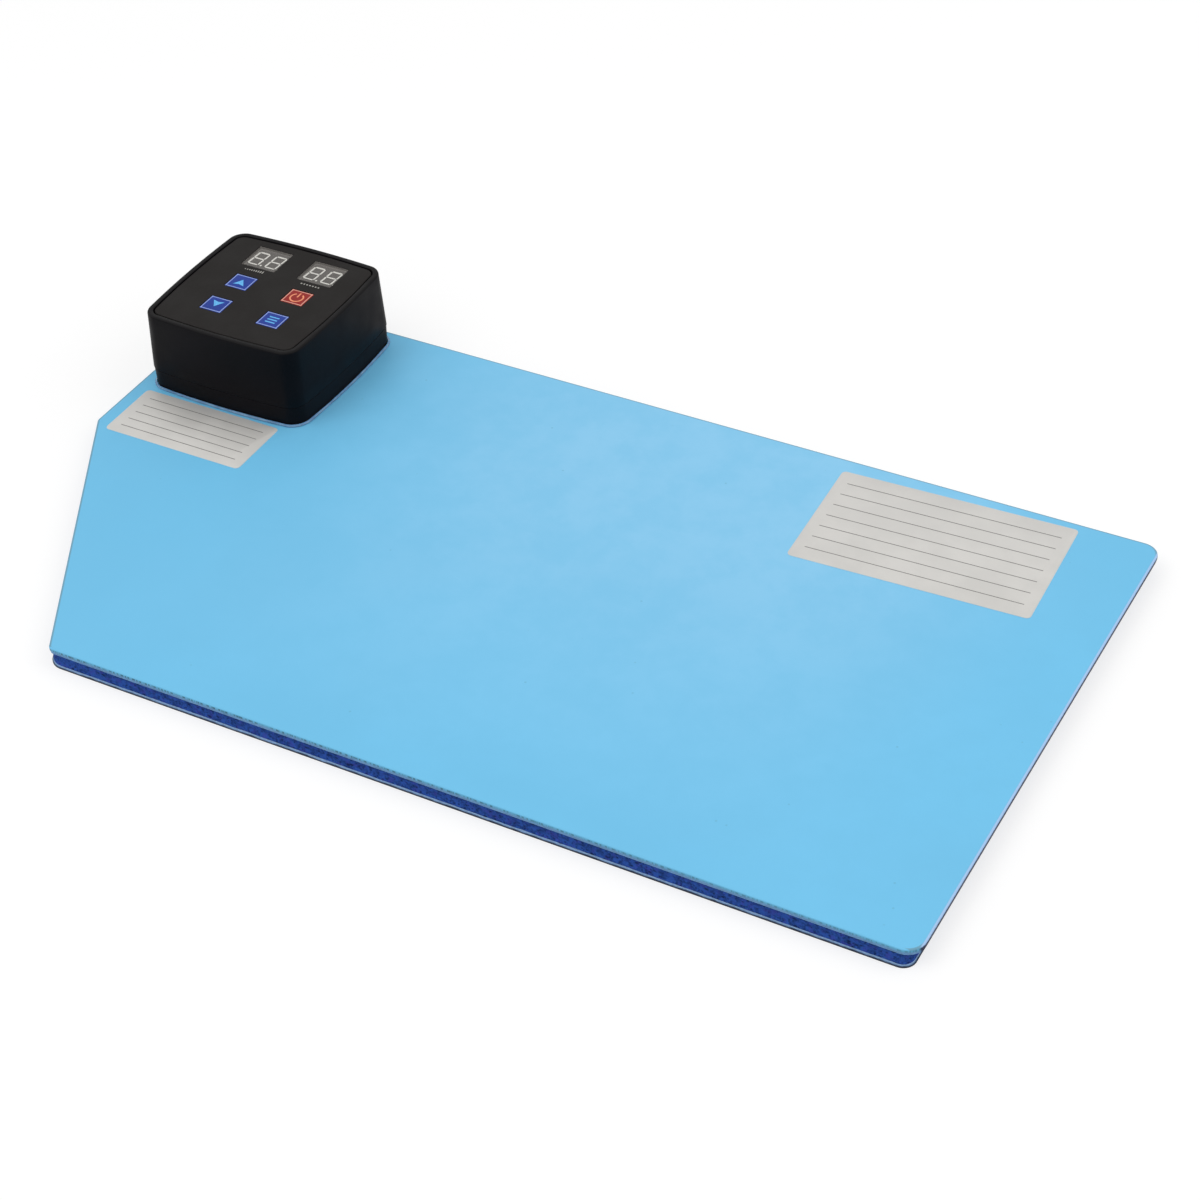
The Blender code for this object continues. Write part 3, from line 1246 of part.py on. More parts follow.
def make_terminal_block(box):
    """Screw terminals: stepped body, a wire entry and a screw well for each way."""
    width, depth, height = TERMINAL_SIZE
    body = standing_box(TERMINAL_SIZE, TERMINAL_AT, PARTS_Z, 0.3 * MM)
    made = piece("terminal_block", body, terminal_green(), box)
    back = TERMINAL_AT[1] + depth / 2
    high = PARTS_Z + height
    for way in range(TERMINAL_WAYS):
        x = terminal_x(way)
        entry = box_mesh((3.2 * MM, 4 * MM, 3.2 * MM), (x, back, PARTS_Z + 4 * MM))
        boolean(made, piece(f"cut_entry_{way + 1}", entry, parent=box))
        well = rod_mesh(1.9 * MM, high - 1.6 * MM, high + 1 * MM, (x, TERMINAL_AT[1] - 1 * MM), 10)
        boolean(made, piece(f"cut_well_{way + 1}", well, parent=box))


def make_sensor_socket(box):
    """Shrouded header, open at the back for the plugs of the two leads."""
    body = standing_box(SOCKET_SIZE, SOCKET_AT, PARTS_Z, 0.3 * MM)
    made = piece("sensor_socket", body, nylon_white(), box)
    wall = 0.9 * MM
    width, depth, height = SOCKET_SIZE
    back = SOCKET_AT[1] + depth / 2
    for i, side in enumerate((-1, 1)):
        cell = (width / 2 - 1.5 * wall, 2 * (depth - 3 * MM), height - 2 * wall)
        at = (SOCKET_AT[0] + side * width / 4, back, PARTS_Z + height / 2)
        boolean(made, piece(f"cut_socket_{i + 1}", box_mesh(cell, at), parent=box))


def chip_leg(side):
    """Profile of a bent leg beside the chip: out of the body, down, and flat on the board."""
    root = CHIP_SIZE[1] / 2
    bends = [(-0.4, 0.75), (0.5, 0.75), (0.8, 0.2), (1.3, 0.2), (1.3, 0), (0.6, 0), (0.35, 0.5), (-0.4, 0.5)]
    return [(side * (root + out * MM), up * MM) for out, up in bends]


def make_controller_chip(box):
    """Flat chip on the display board, with bent legs along both long sides."""
    width, depth, height = CHIP_SIZE
    low = DISPLAY_BOARD_TOP + GAP
    lift = 0.2 * MM
    body = standing_box((width, depth, height - lift), CHIP_AT, low + lift, 0.2 * MM)
    made = piece("controller_chip", body, component_black(), box)
    legs = bmesh.new()
    for i in range(CHIP_LEGS):
        x = CHIP_AT[0] + (i - (CHIP_LEGS - 1) / 2) * width / CHIP_LEGS
        for side in (-1, 1):
            profile = chip_leg(side)
            near = [legs.verts.new((x - 0.2 * MM, CHIP_AT[1] + y, low + z)) for y, z in profile]
            far = [legs.verts.new((x + 0.2 * MM, CHIP_AT[1] + y, low + z)) for y, z in profile]
            legs.faces.new(near)
            legs.faces.new(far)
            for k in range(len(profile)):
                j = (k + 1) % len(profile)
                legs.faces.new((near[k], near[j], far[j], far[k]))
    boolean(made, piece("join_chip_legs", legs, parent=box), "UNION")


def make_buzzer(box):
    low = DISPLAY_BOARD_TOP + GAP
    high = low + BUZZER_HEIGHT
    profile = [
        (BUZZER_RADIUS, low),
        (BUZZER_RADIUS, high - 0.4 * MM),
        (BUZZER_RADIUS - 0.4 * MM, high),
        (1.1 * MM, high),
        (1.1 * MM, high - 1 * MM),
    ]
    piece("buzzer", turned(profile, BUZZER_AT, 18), component_black(), box, smooth=True)


def make_ribbon_cable(box):
    """Flat cable from the power board up to the display board, with slack towards the front."""
    x, y = RIBBON_AT
    low = POWER_BOARD_TOP + GAP
    high = DISPLAY_BOARD_Z - GAP
    half = RIBBON_WIDTH / 2
    points = [
        (y, low),
        (y - 0.5 * MM, mix(low, high, 0.2)),
        (y - 3.5 * MM, mix(low, high, 0.5)),
        (y - 0.5 * MM, mix(low, high, 0.8)),
        (y, high),
    ]
    path = wire_path([(0, v, w) for v, w in points])
    left, right = ribbon_sides([(spot.y, spot.z) for spot in path], RIBBON_THICKNESS / 2)
    rings = [[(x - half, *a), (x + half, *a), (x + half, *b), (x - half, *b)] for a, b in zip(left, right)]
    flat = loft(rings)
    for vert in flat.verts:
        vert.co.z = min(max(vert.co.z, low), high)
    piece("ribbon_cable", flat, grey_ribbon(), box)


# Mains inlet


def inlet_section(size, grow=0.0):
    """The inlet's outline: a rectangle with its two upper corners cut off."""
    half_x = size[0] / 2 + grow
    half_z = size[1] / 2 + grow
    cut = INLET_CHAMFER * size[0] / INLET_BODY[0]
    corners = [
        (-half_x, -half_z, 1 * MM),
        (half_x, -half_z, 1 * MM),
        (half_x, half_z - cut, 0.6 * MM),
        (half_x - cut, half_z, 0.6 * MM),
        (cut - half_x, half_z, 0.6 * MM),
        (-half_x, half_z - cut, 0.6 * MM),
    ]
    return rounded_polygon(corners, 0, 2)


def sheet_of_inlet(section, low, high):
    """The section carried along Y in the inlet's frame."""
    return loft([[(x, y, z) for x, z in section] for y in (low, high)])


def make_inlet(inlet):
    """Snap-in mains inlet: flange outside the wall, body through it, deep mouth with three pins."""
    face = GAP + INLET_FLANGE_THICKNESS
    flange = rounded_box(INLET_FLANGE, 2.5 * MM, steps=3)
    edge = 0.4 * MM
    smaller = rounded_box(INLET_FLANGE, 2.5 * MM, inset=edge, steps=3)
    steps = ((flange, GAP), (flange, face - edge), (smaller, face))
    rings = [[(x, y, z) for x, z in outline] for outline, y in steps]
    socket = piece("inlet_socket", loft(rings), black_plastic(), inlet)
    body = sheet_of_inlet(inlet_section(INLET_BODY), face - INLET_DEPTH, GAP + 0.5 * MM)
    boolean(socket, piece("join_inlet_body", body, parent=inlet), "UNION")
    for i, side in enumerate((-1, 1)):
        clip_length = 5 * MM
        clip_mid = GAP - WALL - 3 * GAP - clip_length / 2
        wedge = box_mesh((1.4 * MM, clip_length, 7 * MM), (side * INLET_BODY[0] / 2, clip_mid, -1 * MM))
        for vert in wedge.verts:
            if vert.co.y < clip_mid and side * vert.co.x > INLET_BODY[0] / 2:
                vert.co.x -= side * 0.6 * MM
        boolean(socket, piece(f"join_inlet_clip_{i + 1}", wedge, parent=inlet), "UNION")
    mouth = sheet_of_inlet(inlet_section(INLET_MOUTH), face - INLET_MOUTH_DEPTH, face + 1 * MM)
    boolean(socket, piece("cut_inlet_mouth", mouth, parent=inlet))
    floor = face - INLET_MOUTH_DEPTH
    tail = face - INLET_DEPTH - INLET_TAB_LENGTH
    for name, x, z in inlet_pins():
        slot_size = (INLET_PIN[1] + 2 * GAP, INLET_DEPTH, INLET_PIN[0] + 2 * GAP)
        slot = box_mesh(slot_size, (x, floor - 0.4 * INLET_DEPTH, z))
        boolean(socket, piece(f"cut_pin_{name}", slot, parent=inlet))
        tip = floor + INLET_PIN_REACH
        pin = box_mesh((INLET_PIN[1], tip - tail, INLET_PIN[0]), (x, (tip + tail) / 2, z), 0.3 * MM)
        piece(f"inlet_pin_{name}", pin, bright_metal(), inlet)


def inlet_pins():
    side = INLET_PIN_SPACING / 2
    return [
        ("line", side, -INLET_PIN_OFFSET),
        ("neutral", -side, -INLET_PIN_OFFSET),
        ("earth", 0, INLET_PIN_OFFSET),
    ]


def inlet_seat():
    """Place and tilt of the inlet: on the outside of the drafted back wall."""
    share = (INLET_HEIGHT - SEAM_HEIGHT) / (BOX_HEIGHT - SEAM_HEIGHT)
    y = mix(BOX_SIZE[1], RIM_SIZE[1], share) / 2
    draft = math.atan2((BOX_SIZE[1] - RIM_SIZE[1]) / 2, BOX_HEIGHT - SEAM_HEIGHT)
    return (0, y, INLET_HEIGHT), draft


def make_box_wires(box):
    """Heater leads from the foil's pads, and wires from the inlet's tabs, all to the terminal block."""
    entry_y = TERMINAL_AT[1] + TERMINAL_SIZE[1] / 2 + GAP
    entry_z = PARTS_Z + 4 * MM
    foot = FOIL_Z + FOIL_THICKNESS + GAP - MAT_TOP
    seat, draft = inlet_seat()
    turn = Matrix.Rotation(draft, 3, "X")
    tail = GAP + INLET_FLANGE_THICKNESS - INLET_DEPTH - INLET_TAB_LENGTH - GAP
    tabs = {name: Vector(seat) + turn @ Vector((x, tail, z)) for name, x, z in inlet_pins()}
    pads_x = PADS_X + 1.4 * MM
    live = [
        (pads_x, PORT_AT[1] - PAD_SPACING / 2, foot),
        (pads_x, PORT_AT[1] - PAD_SPACING / 2, TRAY_FLOOR_TOP + 4 * MM),
        (pads_x - 2 * MM, PORT_AT[1] - PAD_SPACING / 2 - 0.6 * MM, entry_z - 1 * MM),
        (terminal_x(3) + 1 * MM, entry_y + 3 * MM, entry_z),
        (terminal_x(3), entry_y, entry_z),
    ]
    neutral = [
        (pads_x, PORT_AT[1] + PAD_SPACING / 2, foot),
        (pads_x, PORT_AT[1] + PAD_SPACING / 2, TRAY_FLOOR_TOP + 4 * MM),
        (pads_x - 3 * MM, PORT_AT[1] + PAD_SPACING / 2 - 1 * MM, entry_z),
        (terminal_x(2) + 2 * MM, entry_y + 5 * MM, entry_z + 0.6 * MM),
        (terminal_x(2), entry_y, entry_z),
    ]
    lead("heater_lead_live", live, LEAD_RADIUS, red_lead(), box)
    lead("heater_lead_neutral", neutral, LEAD_RADIUS, black_lead(), box)
    line_tab = tabs["line"]
    neutral_tab = tabs["neutral"]
    line = [
        line_tab,
        line_tab + Vector((0.2 * MM, -1.6 * MM, 0)),
        (terminal_x(1) + 1.2 * MM, entry_y + 5 * MM, mix(entry_z, line_tab.z, 0.6)),
        (terminal_x(1), entry_y + 2.6 * MM, entry_z + 1.2 * MM),
        (terminal_x(1), entry_y, entry_z),
    ]
    cold = [
        neutral_tab,
        neutral_tab + Vector((0.2 * MM, -1.6 * MM, 0)),
        (0, entry_y + 6 * MM, mix(entry_z, neutral_tab.z, 0.75)),
        (terminal_x(0) - 1.5 * MM, entry_y + 3.6 * MM, mix(entry_z, neutral_tab.z, 0.3)),
        (terminal_x(0), entry_y, entry_z),
    ]
    lead("line_wire", line, LEAD_RADIUS, red_lead(), box)
    lead("neutral_wire", cold, LEAD_RADIUS, black_lead(), box)


def main():
    clear_scene()
    make_bottom_skin()
    make_foam_pad()
    make_clamp_plate()
    make_thermal_cutout()
    make_temperature_sensor()
    make_heater_base_sheet()
    make_heating_element()
    make_top_sheet()
    make_buried_leads()
    box = frame("control_box", (BOX_X, BOX_Y, MAT_TOP))
    seat, draft = inlet_seat()
    inlet = frame("inlet_seat", seat, box, draft)
    make_sealant_bead(box)
    make_base_tray(box)
    make_top_shell(box, inlet)
    make_control_panel(box)
    make_windows(box)
    make_keys(box)
    make_displays(box)
    make_display_board(box)
    make_controller_chip(box)
    make_buzzer(box)
    make_power_board(box)
    make_corner_screws(box)
    make_power_transformer(box)
    make_relay(box)
    make_filter_capacitor(box)
    make_fuse(box)
    make_terminal_block(box)
    make_sensor_socket(box)
    make_ribbon_cable(box)
    make_inlet(inlet)
    make_box_wires(box)


main()
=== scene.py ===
"""Looks of a silicone heating mat with a control box, as an add-on that is run as a script."""

import math

import bpy
import numpy as np
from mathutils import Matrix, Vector


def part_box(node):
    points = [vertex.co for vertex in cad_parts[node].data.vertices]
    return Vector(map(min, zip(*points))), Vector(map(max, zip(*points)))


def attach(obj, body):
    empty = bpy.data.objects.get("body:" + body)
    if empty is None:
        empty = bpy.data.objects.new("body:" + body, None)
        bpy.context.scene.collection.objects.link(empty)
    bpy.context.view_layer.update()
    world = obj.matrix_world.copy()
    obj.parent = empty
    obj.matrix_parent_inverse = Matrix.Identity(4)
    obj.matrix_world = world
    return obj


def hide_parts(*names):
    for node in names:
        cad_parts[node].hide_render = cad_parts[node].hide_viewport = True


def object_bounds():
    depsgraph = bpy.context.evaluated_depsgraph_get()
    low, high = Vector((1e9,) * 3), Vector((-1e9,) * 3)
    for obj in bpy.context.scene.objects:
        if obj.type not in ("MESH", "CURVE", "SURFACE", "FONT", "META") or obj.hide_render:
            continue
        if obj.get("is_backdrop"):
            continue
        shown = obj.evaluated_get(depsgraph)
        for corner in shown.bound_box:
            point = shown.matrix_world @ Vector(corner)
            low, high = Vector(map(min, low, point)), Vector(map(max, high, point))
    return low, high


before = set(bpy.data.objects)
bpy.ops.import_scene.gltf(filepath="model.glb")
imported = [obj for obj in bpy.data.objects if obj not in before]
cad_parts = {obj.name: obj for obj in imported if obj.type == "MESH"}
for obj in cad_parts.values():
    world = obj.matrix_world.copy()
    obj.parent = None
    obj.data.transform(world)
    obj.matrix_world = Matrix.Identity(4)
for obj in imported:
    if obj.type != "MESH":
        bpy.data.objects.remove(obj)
CAD_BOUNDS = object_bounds()

bl_info = {
    "name": "Heating Mat Looks",
    "version": (1, 0, 0),
    "blender": (4, 5, 0),
    "location": "View3D > Sidebar > Heating Mat",
    "description": "Dresses the heating mat, its labels and its control box",
    "category": "Add Mesh",
}

MM = 0.001

# Outline of the mat: (x, y) of each corner, anticlockwise, and its radius
MAT_CORNERS = np.array([(-179, -150), (271, -150), (271, 150), (-271, 150), (-271, 13)]) * MM
MAT_RADII = np.array([4, 9, 9, 9, 4]) * MM
LOWER_STEP = 3.4 * MM  # the foam and the skin stop short of the sheets on the right
LOWER_RADII = np.array([9, 6, 6]) * MM  # their first three corners
RIGHT_PAINTED_LIGHT_BAND = (269.4 * MM, 270.2 * MM)  # x over which the painted highlight and painted shade of the right side set in

# Layers, from the bench up: lowest z, highest z and inset from the outline
SKIN = (0 * MM, 1.4 * MM, 0.2 * MM)
FOAM = (1.7 * MM, 7.5 * MM, 0.9 * MM)
BASE_SHEET = (7.8 * MM, 8.7 * MM, 0.3 * MM)
TOP_SHEET = (9.0 * MM, 11.1 * MM, 0 * MM)
MAT_TOP = TOP_SHEET[1]
POCKET_RIM = 6 * MM  # rim of the top sheet round the pocket for the foil
CLEARANCE = 0.3 * MM  # kept between pieces that touch on the real object

# Control box: sizes at the foot, seam and rim, in its own frame on the mat
BOX_AT = (-215.7 * MM, 98.5 * MM)
FOOT_SIZE = np.array([99.7, 97.35]) * MM
SEAM_SIZE = np.array([100.5, 98.45]) * MM
RIM_SIZE = np.array([97.9, 94.65]) * MM
FOOT_BOW = 2.4 * MM
RIM_BOW = 1.8 * MM
BOX_RADIUS = 8.3 * MM
TRAY_Z = 0.3 * MM
SEAM_Z = 11.4 * MM
RIM_Z = 45.5 * MM
SEAM_TUCK = 0.2 * MM  # the tray's edge sits this far inside the shell's
TRAY_TOP = SEAM_Z - 0.01 * MM  # height that still counts as the tray's
BEAD_SIZE = np.array([1.3, 1.2]) * MM

# Panel
PANEL_TOP = 45.2 * MM
DISPLAY_TOP = 44.1 * MM
COLUMNS = (-16.45 * MM, 19.45 * MM)
WINDOW_ROW = 27.975 * MM
DIGIT_SPACING = 10.9 * MM
SCALE_ROW = WINDOW_ROW - 13.4 * MM  # foot of the rising scale
DOT_ROW = WINDOW_ROW - 12.5 * MM
KEY_ROWS = (2.875 * MM, -20.825 * MM)
KEY_SIZE = np.array([13.5, 12.6]) * MM
KEY_TOP = 45.12  # millimetres above the mat
KEYS = {
    "up": (COLUMNS[0], KEY_ROWS[0]),
    "down": (COLUMNS[0], KEY_ROWS[1]),
    "power": (COLUMNS[1], KEY_ROWS[0]),
    "mode": (COLUMNS[1], KEY_ROWS[1]),
}

# Inlet in the back wall
INLET_AT = (0 * MM, 48.49 * MM, 24.6 * MM)
INLET_TILT = 3.19
INLET_OPENING = (27.8 * MM, 20.4 * MM, 5 * MM)

# Labels: middle and size in millimetres, turn in degrees and number of ruled lines
LABELS = {
    "label_by_box": ((-220.25, 27.7), (85, 39.0), 0.0, 5),
    "label_on_mat": ((168.9, 105.8), (125, 74), 2.3, 7),
}

# Stage
CAMERA_AT = (0.547778, -0.867486, 0.835552)
CAMERA_TURN = (50.47362, 2.33402, 28.42462)
CAMERA_LENS = 80.6618
FLOOR_SIZE = 8.0


def tint(red, green, blue):
    """A screen colour, 0 to 255 each, as the linear values that shaders use."""
    parts = np.array([red, green, blue]) / 255
    return tuple(np.where(parts <= 0.04045, parts / 12.92, ((parts + 0.055) / 1.055) ** 2.4))


# Shapes as arrays of points


def rounded_outline(corners, radii, inset=0.0, arc_steps=10, spacing=0.02, side_steps=0):
    """Points round a polygon, anticlockwise.

    Each corner is an arc about the point where its two sides, moved in by the radius, meet. Its angle runs
    evenly from the normal of one side to the normal of the next. The sides get even points between the arcs.
    """
    before = np.roll(corners, 1, axis=0) - corners
    after = np.roll(corners, -1, axis=0) - corners
    before /= np.linalg.norm(before, axis=1)[:, None]
    after /= np.linalg.norm(after, axis=1)[:, None]
    middle = before + after
    middle /= np.linalg.norm(middle, axis=1)[:, None]
    half = np.arccos(np.clip((before * after).sum(1), -1, 1)) / 2
    centres = corners + middle * (radii / np.sin(half))[:, None]
    first = np.arctan2(before[:, 0], -before[:, 1])
    turn = (math.pi - 2 * half)[:, None] * np.linspace(0, 1, arc_steps + 1)
    angle = first[:, None] + turn
    unit = np.stack([np.cos(angle), np.sin(angle)], -1)
    full = centres[:, None] + radii[:, None, None] * unit
    arcs = centres[:, None] + (radii - inset)[:, None, None] * unit
    points = []
    for i, arc in enumerate(arcs):
        following = (i + 1) % len(arcs)
        length = np.linalg.norm(full[following, 0] - full[i, -1])
        steps = side_steps or max(1, round(length / spacing))
        share = np.linspace(0, 1, steps + 1)[1:-1, None]
        points += [arc, arc[-1] * (1 - share) + arcs[following, 0] * share]
    return np.concatenate(points)


def rectangle(size, at=(0, 0)):
    """Corners of an upright rectangle, anticlockwise."""
    signs = np.array([(-1, -1), (1, -1), (1, 1), (-1, 1)])
    return np.array(at) + signs * np.array(size) / 2


def lifted(outline, height):
    """An outline at a height: (x, y) becomes (x, y, height)."""
    return np.column_stack([outline, np.broadcast_to(height, len(outline))])


def mat_ring(height, inset):
    """Ring round the sheets."""
    return lifted(rounded_outline(MAT_CORNERS, MAT_RADII, inset, 12), height)


def lower_ring(height, inset, spacing=0.02):
    """Ring round the foam and the skin: their right edge is further in, and three corners differ."""
    corners = MAT_CORNERS.copy()
    corners[1:3, 0] -= LOWER_STEP
    radii = MAT_RADII.copy()
    radii[:3] = LOWER_RADII
    return lifted(rounded_outline(corners, radii, inset, 12, spacing), height)


def housing_ring(height, inset=0.0):
    """Ring round the box. Above the seam, size and bow go evenly from the seam's to the rim's."""
    if height >= SEAM_Z:
        share = (height - SEAM_Z) / (RIM_Z - SEAM_Z)
        size = SEAM_SIZE + (RIM_SIZE - SEAM_SIZE) * share
        bow = FOOT_BOW + (RIM_BOW - FOOT_BOW) * share
    else:
        share = max(height - TRAY_Z, 0) / (SEAM_Z - TRAY_Z)
        size = FOOT_SIZE + (SEAM_SIZE - 2 * SEAM_TUCK - FOOT_SIZE) * share
        bow = FOOT_BOW
    return lifted(bowed(size - 2 * inset, max(BOX_RADIUS - inset, 1 * MM), bow), height)


def bowed(size, radius, bow):
    """A rounded rectangle whose sides bow out.

    x is scaled by 1 - bow / half_x * (y / half_y)^2, and y likewise.
    """
    half = size / 2
    outline = rounded_outline(rectangle(size), np.full(4, radius), 0, 12, side_steps=20)
    pull = 1 - bow / half * (outline[:, ::-1] / half[::-1]) ** 2
    return outline * pull


def in_box(points):
    """Moves points from the box's frame to the object's."""
    return points + np.array([BOX_AT[0], BOX_AT[1], MAT_TOP])


def boxed(patches):
    """Moves patches from the box's frame to the object's."""
    return [(in_box(points), faces, uv) for points, faces, uv in patches]


def wander(along, seed, waves=7):
    """A smooth uneven value, mostly between -1 and 1, as a sum of sines of unlike lengths."""
    rng = np.random.default_rng(seed)
    total = sum(np.sin(along * rng.uniform(0.4, 2.6) * (k + 1) + rng.uniform(0, 6.28)) for k in range(waves))
    return total / math.sqrt(waves)


# Arrays made into meshes


def patch(grid, around=True, loop=False, low_end=False, high_end=False):
    """Faces over a grid of points whose columns run along an outline and whose rows climb a profile.

    Each face joins a point to the next in its row and its column. around closes the rows, loop closes the
    columns, and low_end and high_end fill the first and last ring. UV is the distance along the outline
    and along the profile, in metres. On the ends it is x and y, a metre away from the rest.
    """
    rows, columns = grid.shape[:2]
    r = np.arange(rows if loop else rows - 1)[:, None]
    c = np.arange(columns if around else columns - 1)[None, :]
    r_next = (r + 1) % rows
    c_next = (c + 1) % columns
    corners = [r * columns + c, r * columns + c_next, r_next * columns + c_next, r_next * columns + c]
    quads = np.stack(np.broadcast_arrays(*corners), -1).reshape(-1, 4)
    widest = grid[rows // 2]
    along = np.linalg.norm(np.roll(widest, -1, axis=0) - widest, axis=1)
    along = np.concatenate([[0], np.cumsum(along)])
    up = np.linalg.norm(np.roll(grid[:, 0], -1, axis=0) - grid[:, 0], axis=1)
    up = np.concatenate([[0], np.cumsum(up)])
    u = np.stack(np.broadcast_arrays(along[c], along[c + 1], along[c + 1], along[c]), -1)
    v = np.stack([up[r], up[r], up[r + 1], up[r + 1]], -1)
    uv = [np.stack(np.broadcast_arrays(u, v), -1).reshape(-1, 2)]
    faces = quads.tolist()
    points = grid.reshape(-1, 3)
    if low_end:
        faces.append(list(range(columns))[::-1])
        uv.append(points[faces[-1], :2] - np.array([0, 1]))
    if high_end:
        faces.append(list(range((rows - 1) * columns, rows * columns)))
        uv.append(points[faces[-1], :2] + np.array([0, 1]))
    return points, faces, np.concatenate(uv)


def solid(rows):
    """Faces over rings of points, with the first and the last ring filled."""
    return patch(np.stack(rows), low_end=True, high_end=True)


def disc_rows(ring, steps):
    """Rings that shrink evenly from an outline to a small one round its middle, at the outline's height."""
    middle = ring.mean(0)
    share = np.linspace(1, 0.02, steps + 1)[1:, None, None]
    return middle + (ring - middle) * share


def lathe(profile, at, sides=24):
    """Profile of (radius, height) turned round an upright axis: x = r cos a, y = r sin a."""
    profile = np.array(profile)
    angle = np.linspace(0, 2 * math.pi, sides, endpoint=False)
    x = at[0] + profile[:, :1] * np.cos(angle)
    y = at[1] + profile[:, :1] * np.sin(angle)
    z = np.broadcast_to(profile[:, 1:2], x.shape)
    return solid(np.stack([x, y, z], -1))


def tile(outline, low, high, edge):
    """A thin flat piece: the outline carried up from low to high, with a small bevel above."""
    middle = outline.mean(0)
    reach = np.linalg.norm(outline - middle, axis=1).max()
    inner = middle + (outline - middle) * (1 - edge / reach)
    return solid([lifted(outline, low), lifted(outline, high - edge), lifted(inner, high)])


def bar(start, end, width, low, high):
    """A straight flat bar between two points."""
    start = np.array(start)
    end = np.array(end)
    along = (end - start) / np.linalg.norm(end - start)
    side = np.array([-along[1], along[0]]) * width / 2
    return tile(np.array([start - side, end - side, end + side, start + side]), low, high, 0.01 * MM)


def build(name, patches, material, body, replaced=(), crease=35):
    """Joins patches into one mesh object that rides on a body and stands for the CAD nodes named."""
    points, faces, uvs, count = [], [], [], 0
    for patch_points, patch_faces, patch_uv in patches:
        points.append(patch_points)
        faces += [[i + count for i in face] for face in patch_faces]
        uvs.append(patch_uv)
        count += len(patch_points)
    mesh = bpy.data.meshes.new(name)
    mesh.from_pydata(np.concatenate(points).tolist(), [], faces)
    layer = mesh.uv_layers.new(name="Profile")
    layer.uv.foreach_set("vector", np.concatenate(uvs).astype(np.float32).ravel())
    mesh.shade_smooth()
    mesh.set_sharp_from_angle(angle=math.radians(crease))
    mesh.materials.append(material)
    mesh.validate()
    thing = bpy.data.objects.new(name, mesh)
    bpy.context.scene.collection.objects.link(thing)
    if body:
        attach(thing, body)
    if replaced:
        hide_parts(*replaced)
    return thing


def carve(thing, patches):
    """Cuts closed patches out of a piece and removes the cutter."""
    cutter = build(thing.name + "_cutter", patches, thing.data.materials[0], None)
    cut = thing.modifiers.new("Carve", "BOOLEAN")
    cut.operation = "DIFFERENCE"
    cut.solver = "EXACT"
    cut.use_self = True
    cut.object = cutter
    graph = bpy.context.evaluated_depsgraph_get()
    result = bpy.data.meshes.new_from_object(thing.evaluated_get(graph))
    if len(result.polygons) <= len(thing.data.polygons) // 2:
        raise RuntimeError(f"the cut in {thing.name} went wrong")
    thing.modifiers.clear()
    thing.data = result
    bpy.data.objects.remove(cutter)


# Materials


class Nodes:
    """An emptied node tree, with short calls for the nodes that are used here."""

    def __init__(self, owner):
        owner.use_nodes = True
        self.tree = owner.node_tree
        self.tree.nodes.clear()

    def put(self, socket, value):
        """Links a socket to another, or sets its number or colour."""
        if isinstance(value, bpy.types.NodeSocket):
            self.tree.links.new(value, socket)
        elif socket.type == "RGBA":
            socket.default_value = (*value[:3], 1)
        else:
            socket.default_value = value

    def node(self, kind, sockets, **settings):
        """Adds a node with its settings, fills its sockets and gives its outputs."""
        made = self.tree.nodes.new(kind)
        for key, value in settings.items():
            setattr(made, key, value)
        for key, value in sockets.items():
            self.put(made.inputs[key], value)
        return made.outputs

    def place(self, scale=(1, 1, 1), use_uv=False):
        """Object coordinates in metres, or the piece's own UV, stretched by scale."""
        spot = self.node("ShaderNodeTexCoord", {})["UV" if use_uv else "Object"]
        return self.node("ShaderNodeMapping", {"Vector": spot, "Scale": scale})["Vector"]

    def axis(self, letter, use_uv=False):
        return self.node("ShaderNodeSeparateXYZ", {"Vector": self.place(use_uv=use_uv)})[letter]

    def noise(self, size, detail=3.0, roughness=0.55, stretch=(1, 1, 1), use_uv=False):
        """Cloudy pattern whose lumps are about size metres across."""
        spot = self.place(tuple(part / size for part in stretch), use_uv)
        sockets = {"Vector": spot, "Scale": 1, "Detail": detail, "Roughness": roughness}
        return self.node("ShaderNodeTexNoise", sockets)["Fac"]

    def cells(self, size, stretch=(1, 1, 1), feature="F1"):
        """Distance to scattered points about size metres apart."""
        spot = self.place(tuple(part / size for part in stretch))
        return self.node("ShaderNodeTexVoronoi", {"Vector": spot, "Scale": 1}, feature=feature)["Distance"]

    def bands(self, direction, scale, distortion=0.0):
        """Bands across one axis, with the coordinates in millimetres."""
        sockets = {"Vector": self.place((1000, 1000, 1000)), "Scale": scale, "Distortion": distortion}
        return self.node("ShaderNodeTexWave", sockets, wave_type="BANDS", bands_direction=direction)["Fac"]

    def cloud(self, *pattern):
        """Noise with more contrast, from 0 to 1."""
        return self.ramp(self.noise(*pattern), 0.3, 0.7)

    def ramp(self, value, low, high, out_low=0.0, out_high=1.0, smooth=True):
        """Turns values from low to high into out_low to out_high."""
        sockets = {"Value": value, "From Min": low, "From Max": high, "To Min": out_low, "To Max": out_high}
        kind = "SMOOTHSTEP" if smooth else "LINEAR"
        return self.node("ShaderNodeMapRange", sockets, interpolation_type=kind)["Result"]

    def work_out(self, kind, first, second):
        return self.node("ShaderNodeMath", {0: first, 1: second}, operation=kind)["Value"]

    def plus(self, first, second):
        return self.work_out("ADD", first, second)

    def times(self, first, second):
        return self.work_out("MULTIPLY", first, second)

    def mix(self, share, first, second):
        """Two colours mixed by share: sockets 6 and 7 of the node take them and output 2 gives the mix."""
        return self.node("ShaderNodeMix", {0: share, 6: first, 7: second}, data_type="RGBA")[2]

    def shades(self, pattern, colour, low, high):
        """One colour, darkened or lightened from low to high by a pattern."""
        return self.mix(pattern, shade(colour, low), shade(colour, high))


